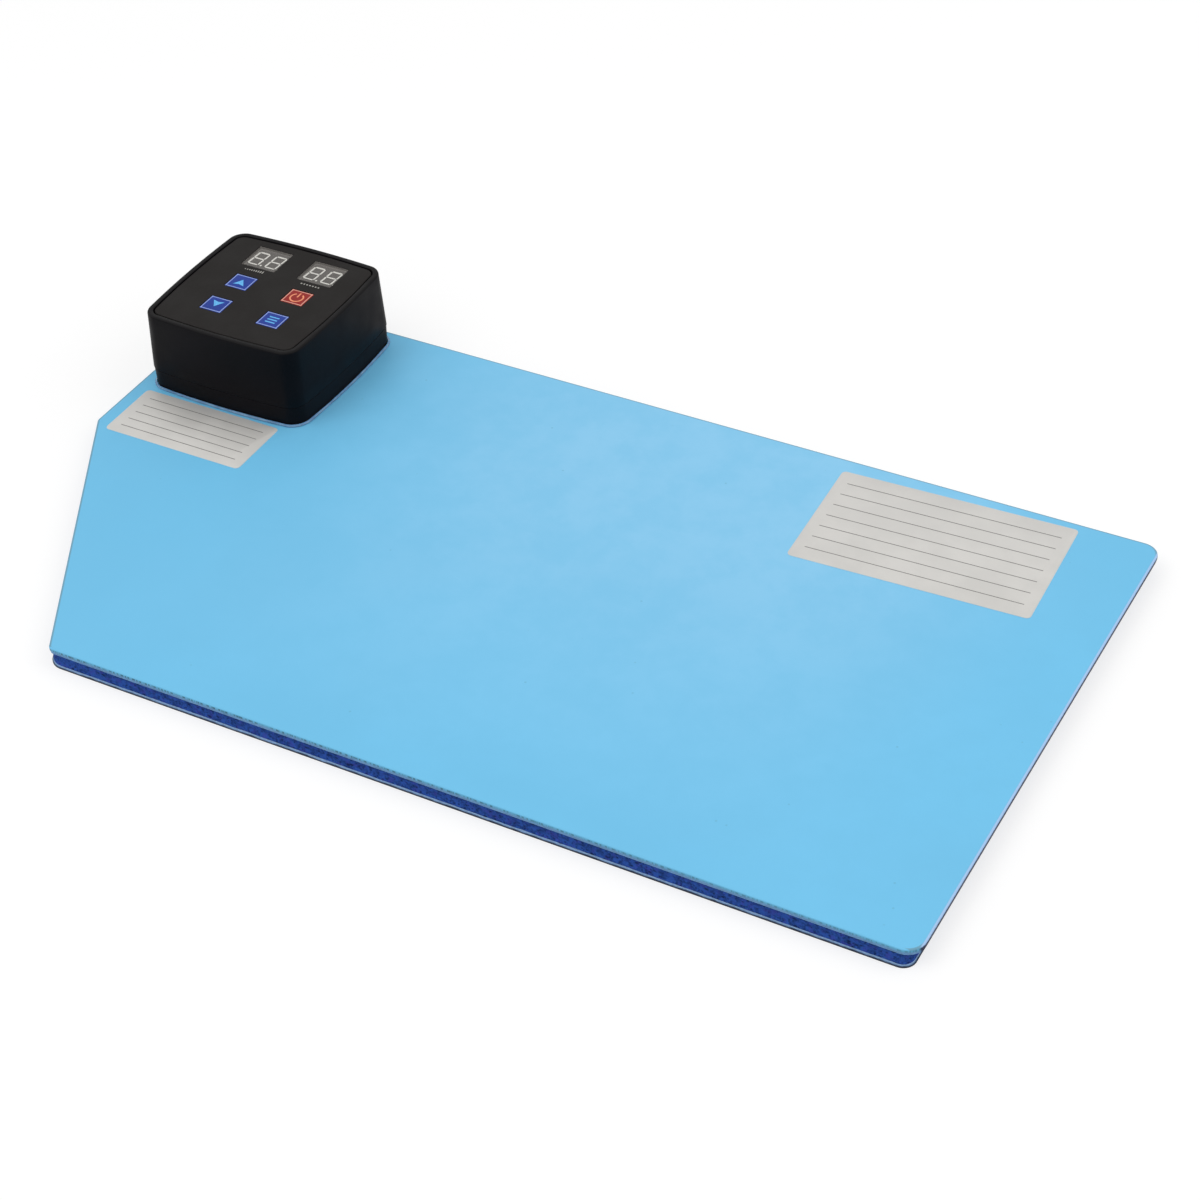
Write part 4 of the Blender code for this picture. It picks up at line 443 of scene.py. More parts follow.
class Recipe(Nodes):
    """A node material for one finish, built round a single shader."""

    def __init__(self, name, **surface):
        self.material = bpy.data.materials.new(name)
        super().__init__(self.material)
        self.shader = self.tree.nodes.new("ShaderNodeBsdfPrincipled")
        self.node("ShaderNodeOutputMaterial", {"Surface": self.shader.outputs["BSDF"]})
        self.surface(**surface)
        self.last_bump = None

    def surface(self, **values):
        """Fills sockets of the shader, named with _ for each space."""
        for socket, value in values.items():
            self.put(self.shader.inputs[socket.replace("_", " ")], value)

    def bump(self, height, distance, strength=1.0):
        """Raises the surface by height times distance, on top of earlier bumps."""
        sockets = {"Strength": strength, "Distance": distance, "Height": height}
        if self.last_bump:
            sockets["Normal"] = self.last_bump
        self.last_bump = self.node("ShaderNodeBump", sockets)["Normal"]
        self.surface(Normal=self.last_bump)

    def colour(self, value):
        self.surface(Base_Color=value)

    def glow(self, colour, strength):
        self.surface(Emission_Color=colour, Emission_Strength=strength)

    def gloss(self, pattern, low, high, start=0, end=1):
        """Roughness from low to high as the pattern goes from start to end."""
        self.surface(Roughness=self.ramp(pattern, start, end, low, high))

    def uneven_gloss(self, size, detail, low, high):
        """Roughness that wanders between two values."""
        self.gloss(self.noise(size, detail), low, high, 0.3, 0.7)


def shade(colour, factor):
    """A colour made darker or lighter by a factor."""
    return tuple(min(1.0, part * factor) for part in colour)


def moulded(name, colour, roughness=0.42, grain=0.0006, depth=0.00003, spread=0.2, **more):
    """Moulded plastic or rubber: faint cloudy colour, fine grain and uneven gloss."""
    recipe = Recipe(name, **more)
    cloud = recipe.cloud(0.03, 4)
    recipe.colour(recipe.shades(cloud, colour, 1 - spread / 2, 1 + spread))
    recipe.uneven_gloss(0.012, 3, roughness - 0.05, roughness + 0.07)
    recipe.bump(recipe.noise(grain, 2), depth, 0.5)
    return recipe.material


def metal(name, colour, roughness=0.3, stretch=(1, 1, 12)):
    """Drawn or turned metal: streaks in colour and gloss."""
    recipe = Recipe(name, Metallic=1.0)
    streak = recipe.noise(0.004, 4, 0.6, stretch)
    recipe.colour(recipe.shades(recipe.ramp(streak, 0.35, 0.65), colour, 0.8, 1.1))
    recipe.gloss(streak, roughness - 0.06, roughness + 0.1, 0.3, 0.7)
    recipe.bump(streak, 0.00002, 0.4)
    return recipe.material


def sheet_silicone(look, brink):
    """Blue silicone sheet: cloudy shade, a wide paler patch towards the back, fine grain and rare specks.

    Its cut edge has the dark marks of the blade above and is paler below. A grey line runs round the brink on
    the left and at the back; on the right the brink has a pale painted highlight, and the right side of the
    cut edge has a painted highlight along its top and painted shade below. brink is the UV height where the
    top face begins.
    """
    recipe = Recipe("sheet_silicone", IOR=1.42, Specular_IOR_Level=0.3)
    blue = look.sheet_colour
    wide = recipe.cloud(0.16, 3, 0.5)
    fine = recipe.cloud(0.022, 4, 0.6)
    height = recipe.axis("Z")
    x = recipe.axis("X")
    y = recipe.axis("Y")
    face = recipe.shades(wide, blue, 0.965, 1.02)
    across = recipe.times(recipe.ramp(x, -200 * MM, 0), recipe.ramp(x, 120 * MM, 260 * MM, 1.0, 0.0))
    pale = recipe.times(across, recipe.ramp(y, -140 * MM, 70 * MM, smooth=False))
    face = recipe.mix(recipe.times(pale, 0.9), face, look.pale_colour)
    face = recipe.mix(recipe.times(fine, 0.35), face, shade(blue, 0.955))
    speck = recipe.ramp(recipe.cells(0.011), 0.04, 0.07, 0.3, 0.0)
    gate = recipe.ramp(recipe.noise(0.03, 2), 0.55, 0.6)
    face = recipe.mix(recipe.times(speck, gate), face, shade(blue, 0.6))

    tooth = recipe.noise(0.0017, 2, 0.5, (1, 0.01, 1), use_uv=True)
    wear = recipe.noise(0.012, 3, 0.6, (1, 0.05, 1), use_uv=True)
    # mask of the right edge, where a highlight and shade are painted
    right = recipe.ramp(x, *RIGHT_PAINTED_LIGHT_BAND)
    front = recipe.ramp(y, -149.0 * MM, -148.4 * MM, 1.0, 0.0)
    line = recipe.ramp(recipe.axis("Y", use_uv=True), brink + 0.1 * MM, brink + 0.7 * MM, 1.0, 0.0)
    line = recipe.times(line, recipe.work_out("SUBTRACT", 1.0, front))
    # on the right the brink line is a painted highlight
    face = recipe.mix(recipe.times(line, 0.85), face, recipe.mix(right, look.brink_colour, look.painted_highlight_right))

    edge = recipe.ramp(recipe.plus(height, recipe.times(tooth, 0.0007)),
                       MAT_TOP - 0.35 * MM, MAT_TOP + 0.15 * MM, 1.0, 0.0)
    foot = recipe.ramp(recipe.plus(height, recipe.times(wear, 0.0012)),
                       MAT_TOP - 1.1 * MM, MAT_TOP - 0.7 * MM, 1.0, 0.0)
    marks = recipe.times(recipe.ramp(tooth, 0.46, 0.56), recipe.ramp(wear, 0.3, 0.5))
    marks = recipe.times(marks, recipe.ramp(x, -60 * MM, 240 * MM, 1.0, 0.5))
    cut = recipe.shades(marks, blue, 0.95, 0.36)
    cut = recipe.mix(foot, cut, look.edge_colour)
    # right side of the cut edge: painted highlight above, painted shade below
    above = recipe.ramp(height, MAT_TOP - 0.45 * MM, MAT_TOP - 0.25 * MM)
    cut = recipe.mix(right, cut, recipe.mix(above, look.painted_shade_right, look.painted_highlight_right))
    recipe.colour(recipe.mix(edge, face, cut))
    recipe.uneven_gloss(0.05, 4, 0.46, 0.58)
    recipe.bump(recipe.noise(0.0011, 3), 0.00003, 0.35)
    recipe.bump(recipe.noise(0.045, 2), 0.0004, 0.12)
    return recipe.material


def base_silicone(look):
    """Lower sheet of the heater: pale cut edge with darker smears, and painted shade on the right side."""
    recipe = Recipe("base_silicone", IOR=1.42, Specular_IOR_Level=0.3)
    colour = look.edge_colour
    grain = recipe.ramp(recipe.noise(0.0016, 3), 0.35, 0.65)
    smear = recipe.ramp(recipe.noise(0.008, 4, 0.65), 0.45, 0.7)
    body = recipe.shades(grain, colour, 0.86, 1.04)
    body = recipe.mix(recipe.times(smear, 0.5), body, shade(colour, 0.6))
    # painted shade on the right side
    recipe.colour(recipe.mix(recipe.ramp(recipe.axis("X"), *RIGHT_PAINTED_LIGHT_BAND), body, look.painted_shade_right))
    recipe.gloss(grain, 0.5, 0.65)
    recipe.bump(recipe.noise(0.0008, 2), 0.00005, 0.5)
    return recipe.material


def cell_foam(look):
    """Closed-cell foam, cut: blue patches of two shades, fine cells, and open pits both small and large,
    painted dark as shade in their hollows.
    """
    recipe = Recipe("cell_foam", Roughness=0.85, IOR=1.4, Specular_IOR_Level=0.15)
    colour = look.foam_colour
    cells = recipe.cells(0.0011)
    small = recipe.ramp(recipe.cells(0.0019), 0.16, 0.36, 1.0, 0.0)
    large = recipe.ramp(recipe.cells(0.0055, (1, 1, 1.6)), 0.1, 0.26, 1.0, 0.0)
    patches = recipe.ramp(recipe.noise(0.0028, 4, 0.75), 0.4, 0.6)
    violet = recipe.ramp(recipe.noise(0.0035, 3, 0.6), 0.5, 0.65)
    body = recipe.shades(patches, colour, 0.62, 1.45)
    body = recipe.mix(recipe.times(violet, 0.6), body, look.foam_fleck)
    body = recipe.mix(recipe.ramp(cells, 0.3, 0.8, 0.0, 0.3), body, shade(colour, 1.9))
    pits = recipe.work_out("MAXIMUM", recipe.times(small, 0.7), large)
    # pits painted dark: painted shade in the hollows
    recipe.colour(recipe.mix(recipe.times(pits, 0.75), body, shade(colour, 0.18)))
    recipe.bump(cells, 0.0003, 0.6)
    recipe.bump(pits, -0.0006, 0.7)
    return recipe.material


def skin_rubber(look):
    """Thin rubber skin: pale blue above, dark where it meets the bench."""
    recipe = Recipe("bottom_rubber", IOR=1.45)
    height = recipe.axis("Z")
    uneven = recipe.times(recipe.noise(0.01, 3), 0.0004)
    low = recipe.ramp(recipe.plus(height, uneven), 0.9 * MM, 1.15 * MM, 1.0, 0.0)
    grain = recipe.ramp(recipe.noise(0.0015, 3), 0.35, 0.65)
    top = recipe.shades(grain, look.skin_colour, 0.9, 1.1)
    recipe.colour(recipe.mix(low, top, tint(14, 28, 52)))
    recipe.gloss(grain, 0.55, 0.7)
    recipe.bump(recipe.noise(0.0009, 2), 0.00006, 0.5)
    return recipe.material


def label_film(look):
    """Matt silvered label film: faint mottling and a brushed grain."""
    recipe = Recipe("label_film", IOR=1.45)
    colour = look.label_colour
    cloud = recipe.cloud(0.02, 4)
    fine = recipe.cloud(0.0012, 3, 0.6, (1, 6, 1))
    body = recipe.shades(cloud, colour, 0.95, 1.03)
    recipe.colour(recipe.mix(recipe.times(fine, 0.3), body, shade(colour, 0.9)))
    recipe.gloss(cloud, 0.38, 0.5)
    recipe.bump(fine, 0.00002, 0.3)
    recipe.bump(recipe.noise(0.018, 2), 0.0002, 0.2)
    return recipe.material


def box_plastic(look):
    """Black moulded housing: cloudy black, fine spark texture, and a paler top rim, which is a painted
    highlight.
    """
    recipe = Recipe("box_plastic", IOR=1.5, Specular_IOR_Level=0.08)
    colour = look.wall_colour
    cloud = recipe.cloud(0.04, 4)
    walls = recipe.shades(cloud, colour, 0.7, 1.4)
    grain = recipe.ramp(recipe.noise(0.0012, 3, 0.7), 0.45, 0.7)
    walls = recipe.mix(recipe.times(grain, 0.35), walls, shade(colour, 2.4))
    height = recipe.plus(recipe.axis("Z"), recipe.times(recipe.noise(0.012, 3), 0.0006))
    # paler top rim: a painted highlight
    rim = recipe.ramp(height, MAT_TOP + RIM_Z - 0.5 * MM, MAT_TOP + RIM_Z + 0.2 * MM)
    recipe.colour(recipe.mix(rim, walls, look.rim_highlight_colour))
    recipe.uneven_gloss(0.02, 4, 0.42, 0.56)
    recipe.bump(recipe.noise(0.0007, 2), 0.00003, 0.5)
    return recipe.material


def panel_film(look):
    """Textured overlay film of the panel: dark warm grey with a fine even grain."""
    recipe = Recipe("panel_overlay", IOR=1.45, Specular_IOR_Level=0.1)
    colour = look.panel_colour
    grain = recipe.cloud(0.0009, 3, 0.7)
    cloud = recipe.cloud(0.03, 3)
    body = recipe.shades(cloud, colour, 0.94, 1.08)
    recipe.colour(recipe.mix(recipe.times(grain, 0.4), body, shade(colour, 1.35)))
    recipe.gloss(cloud, 0.5, 0.62)
    recipe.bump(grain, 0.00003, 0.4)
    return recipe.material


def window_film(look):
    """Smoky see-through pane: most of it lets the display show, the rest takes up some of the light, and a
    painted glow lifts the whole window above the panel.
    """
    recipe = Recipe("smoky_pane", IOR=1.45, Specular_IOR_Level=0.1, Alpha=look.window_cover)
    colour = look.window_colour
    grain = recipe.cloud(0.0012, 3, 0.6)
    pane_tint_and_glow = recipe.shades(grain, colour, 0.9, 1.12)
    recipe.colour(pane_tint_and_glow)
    # painted glow: the pane gives off light of its own so that it looks paler than the panel
    recipe.glow(pane_tint_and_glow, look.window_painted_glow)
    recipe.uneven_gloss(0.01, 3, 0.15, 0.28)
    recipe.bump(grain, 0.00001, 0.3)
    return recipe.material


def ink(name, colour, glow=0.0):
    """Printed ink: slightly uneven cover and a faint grain."""
    recipe = Recipe(name, IOR=1.45, Specular_IOR_Level=0.2)
    grain = recipe.ramp(recipe.noise(0.0008, 3), 0.35, 0.65)
    body = recipe.shades(grain, colour, 0.88, 1.06)
    recipe.colour(body)
    if glow:
        recipe.glow(body, glow)
    recipe.gloss(grain, 0.42, 0.58)
    recipe.bump(grain, 0.00001, 0.3)
    return recipe.material


def bead_silicone():
    """Clear silicone sealant: milky, glossy and a little lumpy."""
    recipe = Recipe("bead_silicone", IOR=1.41, Subsurface_Weight=0.25, Subsurface_Scale=0.004)
    cloud = recipe.cloud(0.006, 3)
    recipe.colour(recipe.mix(cloud, tint(88, 128, 168), tint(120, 158, 192)))
    recipe.uneven_gloss(0.004, 2, 0.15, 0.3)
    recipe.bump(recipe.noise(0.003, 2), 0.0002, 0.4)
    return recipe.material


def circuit_board():
    """Green solder mask over faint tracks, with a fine weave."""
    recipe = Recipe("solder_mask", IOR=1.5)
    tracks = recipe.ramp(recipe.cells(0.003, feature="F2"), 0.45, 0.5)
    weave = recipe.ramp(recipe.noise(0.0009, 2), 0.4, 0.6)
    body = recipe.mix(tracks, tint(18, 84, 48), tint(26, 104, 60))
    recipe.colour(recipe.mix(recipe.times(weave, 0.3), body, tint(14, 70, 42)))
    recipe.gloss(weave, 0.28, 0.4)
    recipe.bump(tracks, 0.00003, 0.6)
    return recipe.material


def laminations():
    """Stacked steel sheets of the transformer: thin dark lines between paler sheets."""
    recipe = Recipe("core_steel", Metallic=0.8)
    lines = recipe.ramp(recipe.bands("Z", 0.5, 0.3), 0.1, 0.4)
    stain = recipe.ramp(recipe.noise(0.008, 4), 0.4, 0.7)
    sheet = recipe.mix(stain, tint(122, 122, 126), tint(92, 86, 80))
    recipe.colour(recipe.mix(lines, tint(46, 44, 44), sheet))
    recipe.gloss(stain, 0.35, 0.6)
    recipe.bump(lines, 0.0001, 0.5)
    return recipe.material


def ribbon_cable():
    """Flat grey cable: a groove between each pair of wires, painted darker as shade in the groove."""
    recipe = Recipe("ribbon_jacket", IOR=1.45)
    groove = recipe.ramp(recipe.bands("X", 0.25), 0.1, 0.6)
    # the grooves are painted darker: painted shade
    recipe.colour(recipe.mix(groove, tint(96, 98, 102), tint(150, 152, 156)))
    recipe.uneven_gloss(0.004, 3, 0.4, 0.55)
    recipe.bump(groove, 0.0002, 0.6)
    return recipe.material


# Settings that a user would change


def colour_setting(name, description, usual):
    return bpy.props.FloatVectorProperty(
        name=name, description=description, subtype="COLOR", size=3, min=0, max=1, default=usual
    )


def length_setting(name, description, low, high, usual):
    """A length whose limits and usual value are given in millimetres."""
    return bpy.props.FloatProperty(
        name=name, description=description, unit="LENGTH", min=low * MM, max=high * MM, default=usual * MM
    )


def strength_setting(name, description, high, usual, **more):
    return bpy.props.FloatProperty(name=name, description=description, min=0, max=high, default=usual, **more)


class MatLook(bpy.types.PropertyGroup):
    """Colours and sizes of the mat and its labels."""

    sheet_colour: colour_setting("Sheet colour", "Upper silicone sheet, seen from above", tint(116, 198, 239))
    pale_colour: colour_setting(
        "Pale patch colour", "Upper silicone sheet, in its wide paler patch", tint(144, 207, 243)
    )
    edge_colour: colour_setting("Edge colour", "Cut edges of the two silicone sheets", tint(130, 182, 232))
    brink_colour: colour_setting(
        "Brink colour", "Greyer line round the upper sheet, on the left and at the back", tint(112, 158, 180)
    )
    # Painted highlight down the right edge of the upper sheet
    painted_highlight_right: colour_setting("Lilac line", "Pale line down the right of the upper sheet", tint(176, 204, 244))
    # Painted shade on the lower part of the right side
    painted_shade_right: colour_setting("Right side colour", "Dark lower part of the right side", tint(22, 34, 70))
    foam_colour: colour_setting("Foam colour", "Cut edge of the foam pad", tint(42, 78, 156))
    foam_fleck: colour_setting("Foam fleck", "Brighter violet flecks in the foam", tint(70, 76, 180))
    skin_colour: colour_setting("Skin colour", "Upper line of the rubber skin", tint(152, 188, 230))
    label_colour: colour_setting("Label colour", "Film of the two blank labels", tint(213, 211, 207))
    edge_rounding: length_setting("Edge rounding", "Radius of the upper sheet's top edge", 0.1, 1.5, 0.7)
    foam_swell: length_setting("Foam swell", "How far the cut edge of the foam stands out", 0, 0.7, 0.65)
    foam_roughness: length_setting(
        "Foam unevenness", "How far the cut edge of the foam wanders in and out", 0, 0.4, 0.12
    )
    label_thickness: length_setting("Label thickness", "Thickness of the two blank labels", 0.05, 0.5, 0.15)


class BoxLook(bpy.types.PropertyGroup):
    """Colours and sizes of the control box."""

    wall_colour: colour_setting("Housing colour", "Moulded housing of the box", tint(10, 8, 11))
    # Painted highlight on the top rim of the housing
    rim_highlight_colour: colour_setting("Rim colour", "Paler worn top of the housing", tint(24, 23, 24))
    panel_colour: colour_setting("Panel colour", "Overlay film of the panel", tint(32, 30, 29))
    window_colour: colour_setting("Window colour", "Film of the two windows", tint(96, 93, 90))
    window_cover: strength_setting(
        "Window cover", "Share of the window that hides what is under it", 1, 0.2, subtype="FACTOR"
    )
    # Painted glow of the window panes, which lifts them above the panel
    window_painted_glow: strength_setting(
        "Window haze", "Strength of the digits' light that spreads in the windows", 5, 1.6
    )
    digit_colour: colour_setting("Digit colour", "Lit bars of the displays", tint(236, 236, 230))
    digit_glow: strength_setting("Digit glow", "Strength of the displays' own light", 5, 0.35)
    key_colour: colour_setting("Key colour", "The three blue keys", tint(12, 50, 142))
    power_colour: colour_setting("Power key colour", "The red key", tint(146, 25, 19))
    key_crown: length_setting("Key crown", "How far the middle of a key stands above its edge", 0, 0.3, 0.1)


class StageLook(bpy.types.PropertyGroup):
    """Floor and light of the picture."""

    floor_colour: colour_setting("Floor colour", "Plain floor under the object", (0.35, 0.35, 0.35))
    floor_glow: strength_setting(
        "Floor glow", "Own light of the floor towards the camera, which makes the paper white", 1, 0.68
    )
    sky: strength_setting("Sky strength", "Even light from all round", 2, 0.7)
    lamp: strength_setting("Lamp power", "Power of the two large soft lamps", 100, 11, unit="POWER")


def inlet_points(outline, depths):
    """An outline carried along the inlet's axis, turned by the wall's tilt and put in the wall."""
    x, z = outline.T
    grid = np.stack([np.column_stack([x, np.full(len(x), depth), z]) for depth in depths])[::-1]
    tilt = math.radians(INLET_TILT)
    turn = np.array([[1, 0, 0], [0, math.cos(tilt), math.sin(tilt)], [0, -math.sin(tilt), math.cos(tilt)]])
    return in_box(grid @ turn + np.array(INLET_AT))


class HEATMAT_OT_stage(bpy.types.Operator):
    """Camera, floor, background and soft light"""

    bl_idname = "heatmat.stage"
    bl_label = "Stage"

    def execute(self, context):
        look = context.scene.heatmat_stage
        context.scene.view_settings.view_transform = "Standard"
        self.camera(context.scene)
        half = FLOOR_SIZE / 2
        grid = np.array([[(-half, -half, 0), (half, -half, 0)], [(-half, half, 0), (half, half, 0)]])
        build("floor", [patch(grid, around=False)], self.floor_material(look), None)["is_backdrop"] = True
        self.background(context.scene, look.sky)
        self.lamp(context.scene, "soft_lamp", (-0.7, -0.9, 1.7), 1.4, look.lamp * 0.8)
        self.lamp(context.scene, "fill_lamp", (1.2, 0.4, 1.3), 1.2, look.lamp * 0.52)
        return {"FINISHED"}

    @staticmethod
    def camera(scene):
        camera = bpy.data.objects.new("camera", bpy.data.cameras.new("camera"))
        camera.location = CAMERA_AT
        camera.rotation_euler = [math.radians(angle) for angle in CAMERA_TURN]
        camera.data.lens = CAMERA_LENS
        camera.data.sensor_width = 36
        camera.data.clip_start = 0.05
        camera.data.clip_end = 20
        scene.collection.objects.link(camera)
        scene.camera = camera

    @staticmethod
    def background(scene, sky):
        """White where it is seen, also in reflections, and of the sky's strength for the light it gives."""
        scene.world = bpy.data.worlds.new("studio")
        nodes = Nodes(scene.world)
        rays = nodes.node("ShaderNodeLightPath", {})
        seen = nodes.work_out("MAXIMUM", rays["Is Camera Ray"], rays["Is Transmission Ray"])
        seen = nodes.work_out("MAXIMUM", seen, rays["Is Glossy Ray"])
        light = {"Color": (1, 1, 1), "Strength": nodes.ramp(seen, 0, 1, sky, 1)}
        shine = nodes.node("ShaderNodeBackground", light)["Background"]
        nodes.node("ShaderNodeOutputWorld", {"Surface": shine})

    @staticmethod
    def lamp(scene, name, spot, size, power):
        """A square soft lamp that faces the origin."""
        lamp = bpy.data.lights.new(name, "AREA")
        lamp.size = size
        lamp.energy = power
        holder = bpy.data.objects.new(name, lamp)
        holder.location = spot
        holder.rotation_euler = (-Vector(spot)).to_track_quat("-Z", "Y").to_euler()
        scene.collection.objects.link(holder)

    @staticmethod
    def floor_material(look):
        """Pale paper: faint cloudy shade, and a little light of its own towards the camera."""
        recipe = Recipe("pale_floor", Roughness=0.9, Specular_IOR_Level=0.1)
        cloud = recipe.cloud(0.4, 3)
        recipe.colour(recipe.mix(cloud, shade(look.floor_colour, 0.99), look.floor_colour))
        rays = recipe.node("ShaderNodeLightPath", {})
        seen = recipe.work_out("MAXIMUM", rays["Is Camera Ray"], rays["Is Glossy Ray"])
        recipe.glow((1, 1, 1), recipe.ramp(seen, 0, 1, 0, look.floor_glow))
        return recipe.material


class HEATMAT_OT_sheets(bpy.types.Operator):
    """The two silicone sheets of the heater"""

    bl_idname = "heatmat.sheets"
    bl_label = "Heater sheets"

    def execute(self, context):
        look = context.scene.heatmat_mat
        low, high, inset = TOP_SHEET
        round_edge = look.edge_rounding
        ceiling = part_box("heating_element")[1].z + CLEARANCE
        quarter = np.linspace(0, math.pi / 2, 7)
        rows = [mat_ring(ceiling, POCKET_RIM), mat_ring(low, POCKET_RIM), mat_ring(low, 0.15 * MM)]
        rows.append(mat_ring(low + 0.3 * MM, inset))
        for angle in quarter:
            rise = round_edge * (math.sin(angle) - 1)
            rows.append(mat_ring(high + rise, round_edge * (1 - math.cos(angle))))
        rows += [mat_ring(high, round_edge + 0.6 * MM), mat_ring(high, 4 * MM)]
        climb = np.diff([row[0] for row in rows[: 4 + len(quarter)]], axis=0)
        silicone = sheet_silicone(look, np.linalg.norm(climb, axis=1).sum())
        build("heater_top_sheet", [solid(rows)], silicone, "station", ["top_sheet"])

        low, high, inset = BASE_SHEET
        edge = 0.12 * MM
        rows = [mat_ring(low, inset + edge), mat_ring(low + edge, inset)]
        rows += [mat_ring(high - edge, inset), mat_ring(high, inset + edge)]
        sheet = [solid(rows)]
        silicone = base_silicone(look)
        build("heater_lower_sheet", sheet, silicone, "station", ["heater_base_sheet"])
        return {"FINISHED"}


class HEATMAT_OT_foam(bpy.types.Operator):
    """The foam pad with its uneven cut edge, and the rubber skin under it"""

    bl_idname = "heatmat.foam"
    bl_label = "Foam and skin"

    def execute(self, context):
        look = context.scene.heatmat_mat
        low, high, inset = FOAM
        outer = lower_ring(0, inset - look.foam_swell, 0.004)
        centre = outer.mean(0)
        outward = outer - centre
        outward /= np.linalg.norm(outward, axis=1)[:, None]
        along = np.cumsum(np.linalg.norm(np.roll(outer, 1, axis=0) - outer, axis=1)) / 0.02
        rows = []
        for k, share in enumerate(np.linspace(0, 1, 7)):
            bulge = -0.25 * MM * math.sin(share * math.pi)
            uneven = look.foam_roughness * wander(along, 3 + k)
            ring = outer + outward * (bulge + uneven - look.foam_roughness)[:, None]
            ring[:, 2] = low + (high - low) * share
            rows.append(ring)
        rows = [self.inward(rows[0], centre)] + rows + [self.inward(rows[-1], centre)]
        foam = cell_foam(look)
        build("insulating_foam", [solid(rows)], foam, "station", ["foam_pad"], crease=60)

        low, _, inset = SKIN
        rows = []
        profile = ((0, -0.4), (0.12, -0.6), (0.7, -0.6), (0.85, 0), (1.25, 0), (1.4, 0.15), (1.4, 2))
        for height, extra in profile:
            rows.append(lower_ring(low + height * MM, inset + extra * MM))
        build("rubber_skin", [solid(rows)], skin_rubber(look), "station", ["bottom_skin"])
        return {"FINISHED"}

    @staticmethod
    def inward(ring, centre):
        """The same ring drawn 3 mm towards the middle, so that the flat face starts behind the edge."""
        flat = centre - ring
        flat[:, 2] = 0
        return ring + flat / np.linalg.norm(flat, axis=1)[:, None] * 3 * MM


class HEATMAT_OT_labels(bpy.types.Operator):
    """Two blank labels with ruled lines"""

    bl_idname = "heatmat.labels"
    bl_label = "Blank labels"

    def execute(self, context):
        look = context.scene.heatmat_mat
        film = label_film(look)
        rule = ink("rule_ink", tint(120, 118, 116))
        low = MAT_TOP + 0.02 * MM
        high = low + look.label_thickness
        for name, (at, size, turn, lines) in LABELS.items():
            at = np.array(at) * MM
            size = np.array(size) * MM
            radii = np.full(4, 2.5 * MM)
            outline = rounded_outline(rectangle(size), radii, 0, 8, 0.01)
            inner = rounded_outline(rectangle(size), radii, 0.06 * MM, 8, 0.01)
            angle = math.radians(turn)
            spin = np.array([[math.cos(angle), math.sin(angle)], [-math.sin(angle), math.cos(angle)]])
            rows = [lifted(outline @ spin + at, low), lifted(outline @ spin + at, high - 0.04 * MM)]
            rows.append(lifted(inner @ spin + at, high))
            build(name, [solid(rows)], film, "station")
            rules = []
            for k in range(lines):
                y = size[1] * (0.5 - (k + 1) / (lines + 1))
                ends = np.array([(-size[0] / 2 + 6 * MM, y), (size[0] / 2 - 6 * MM, y)]) @ spin + at
                rules.append(bar(ends[0], ends[1], 0.45 * MM, high, high + 0.02 * MM))
            build(name + "_rules", rules, rule, "station")
        return {"FINISHED"}


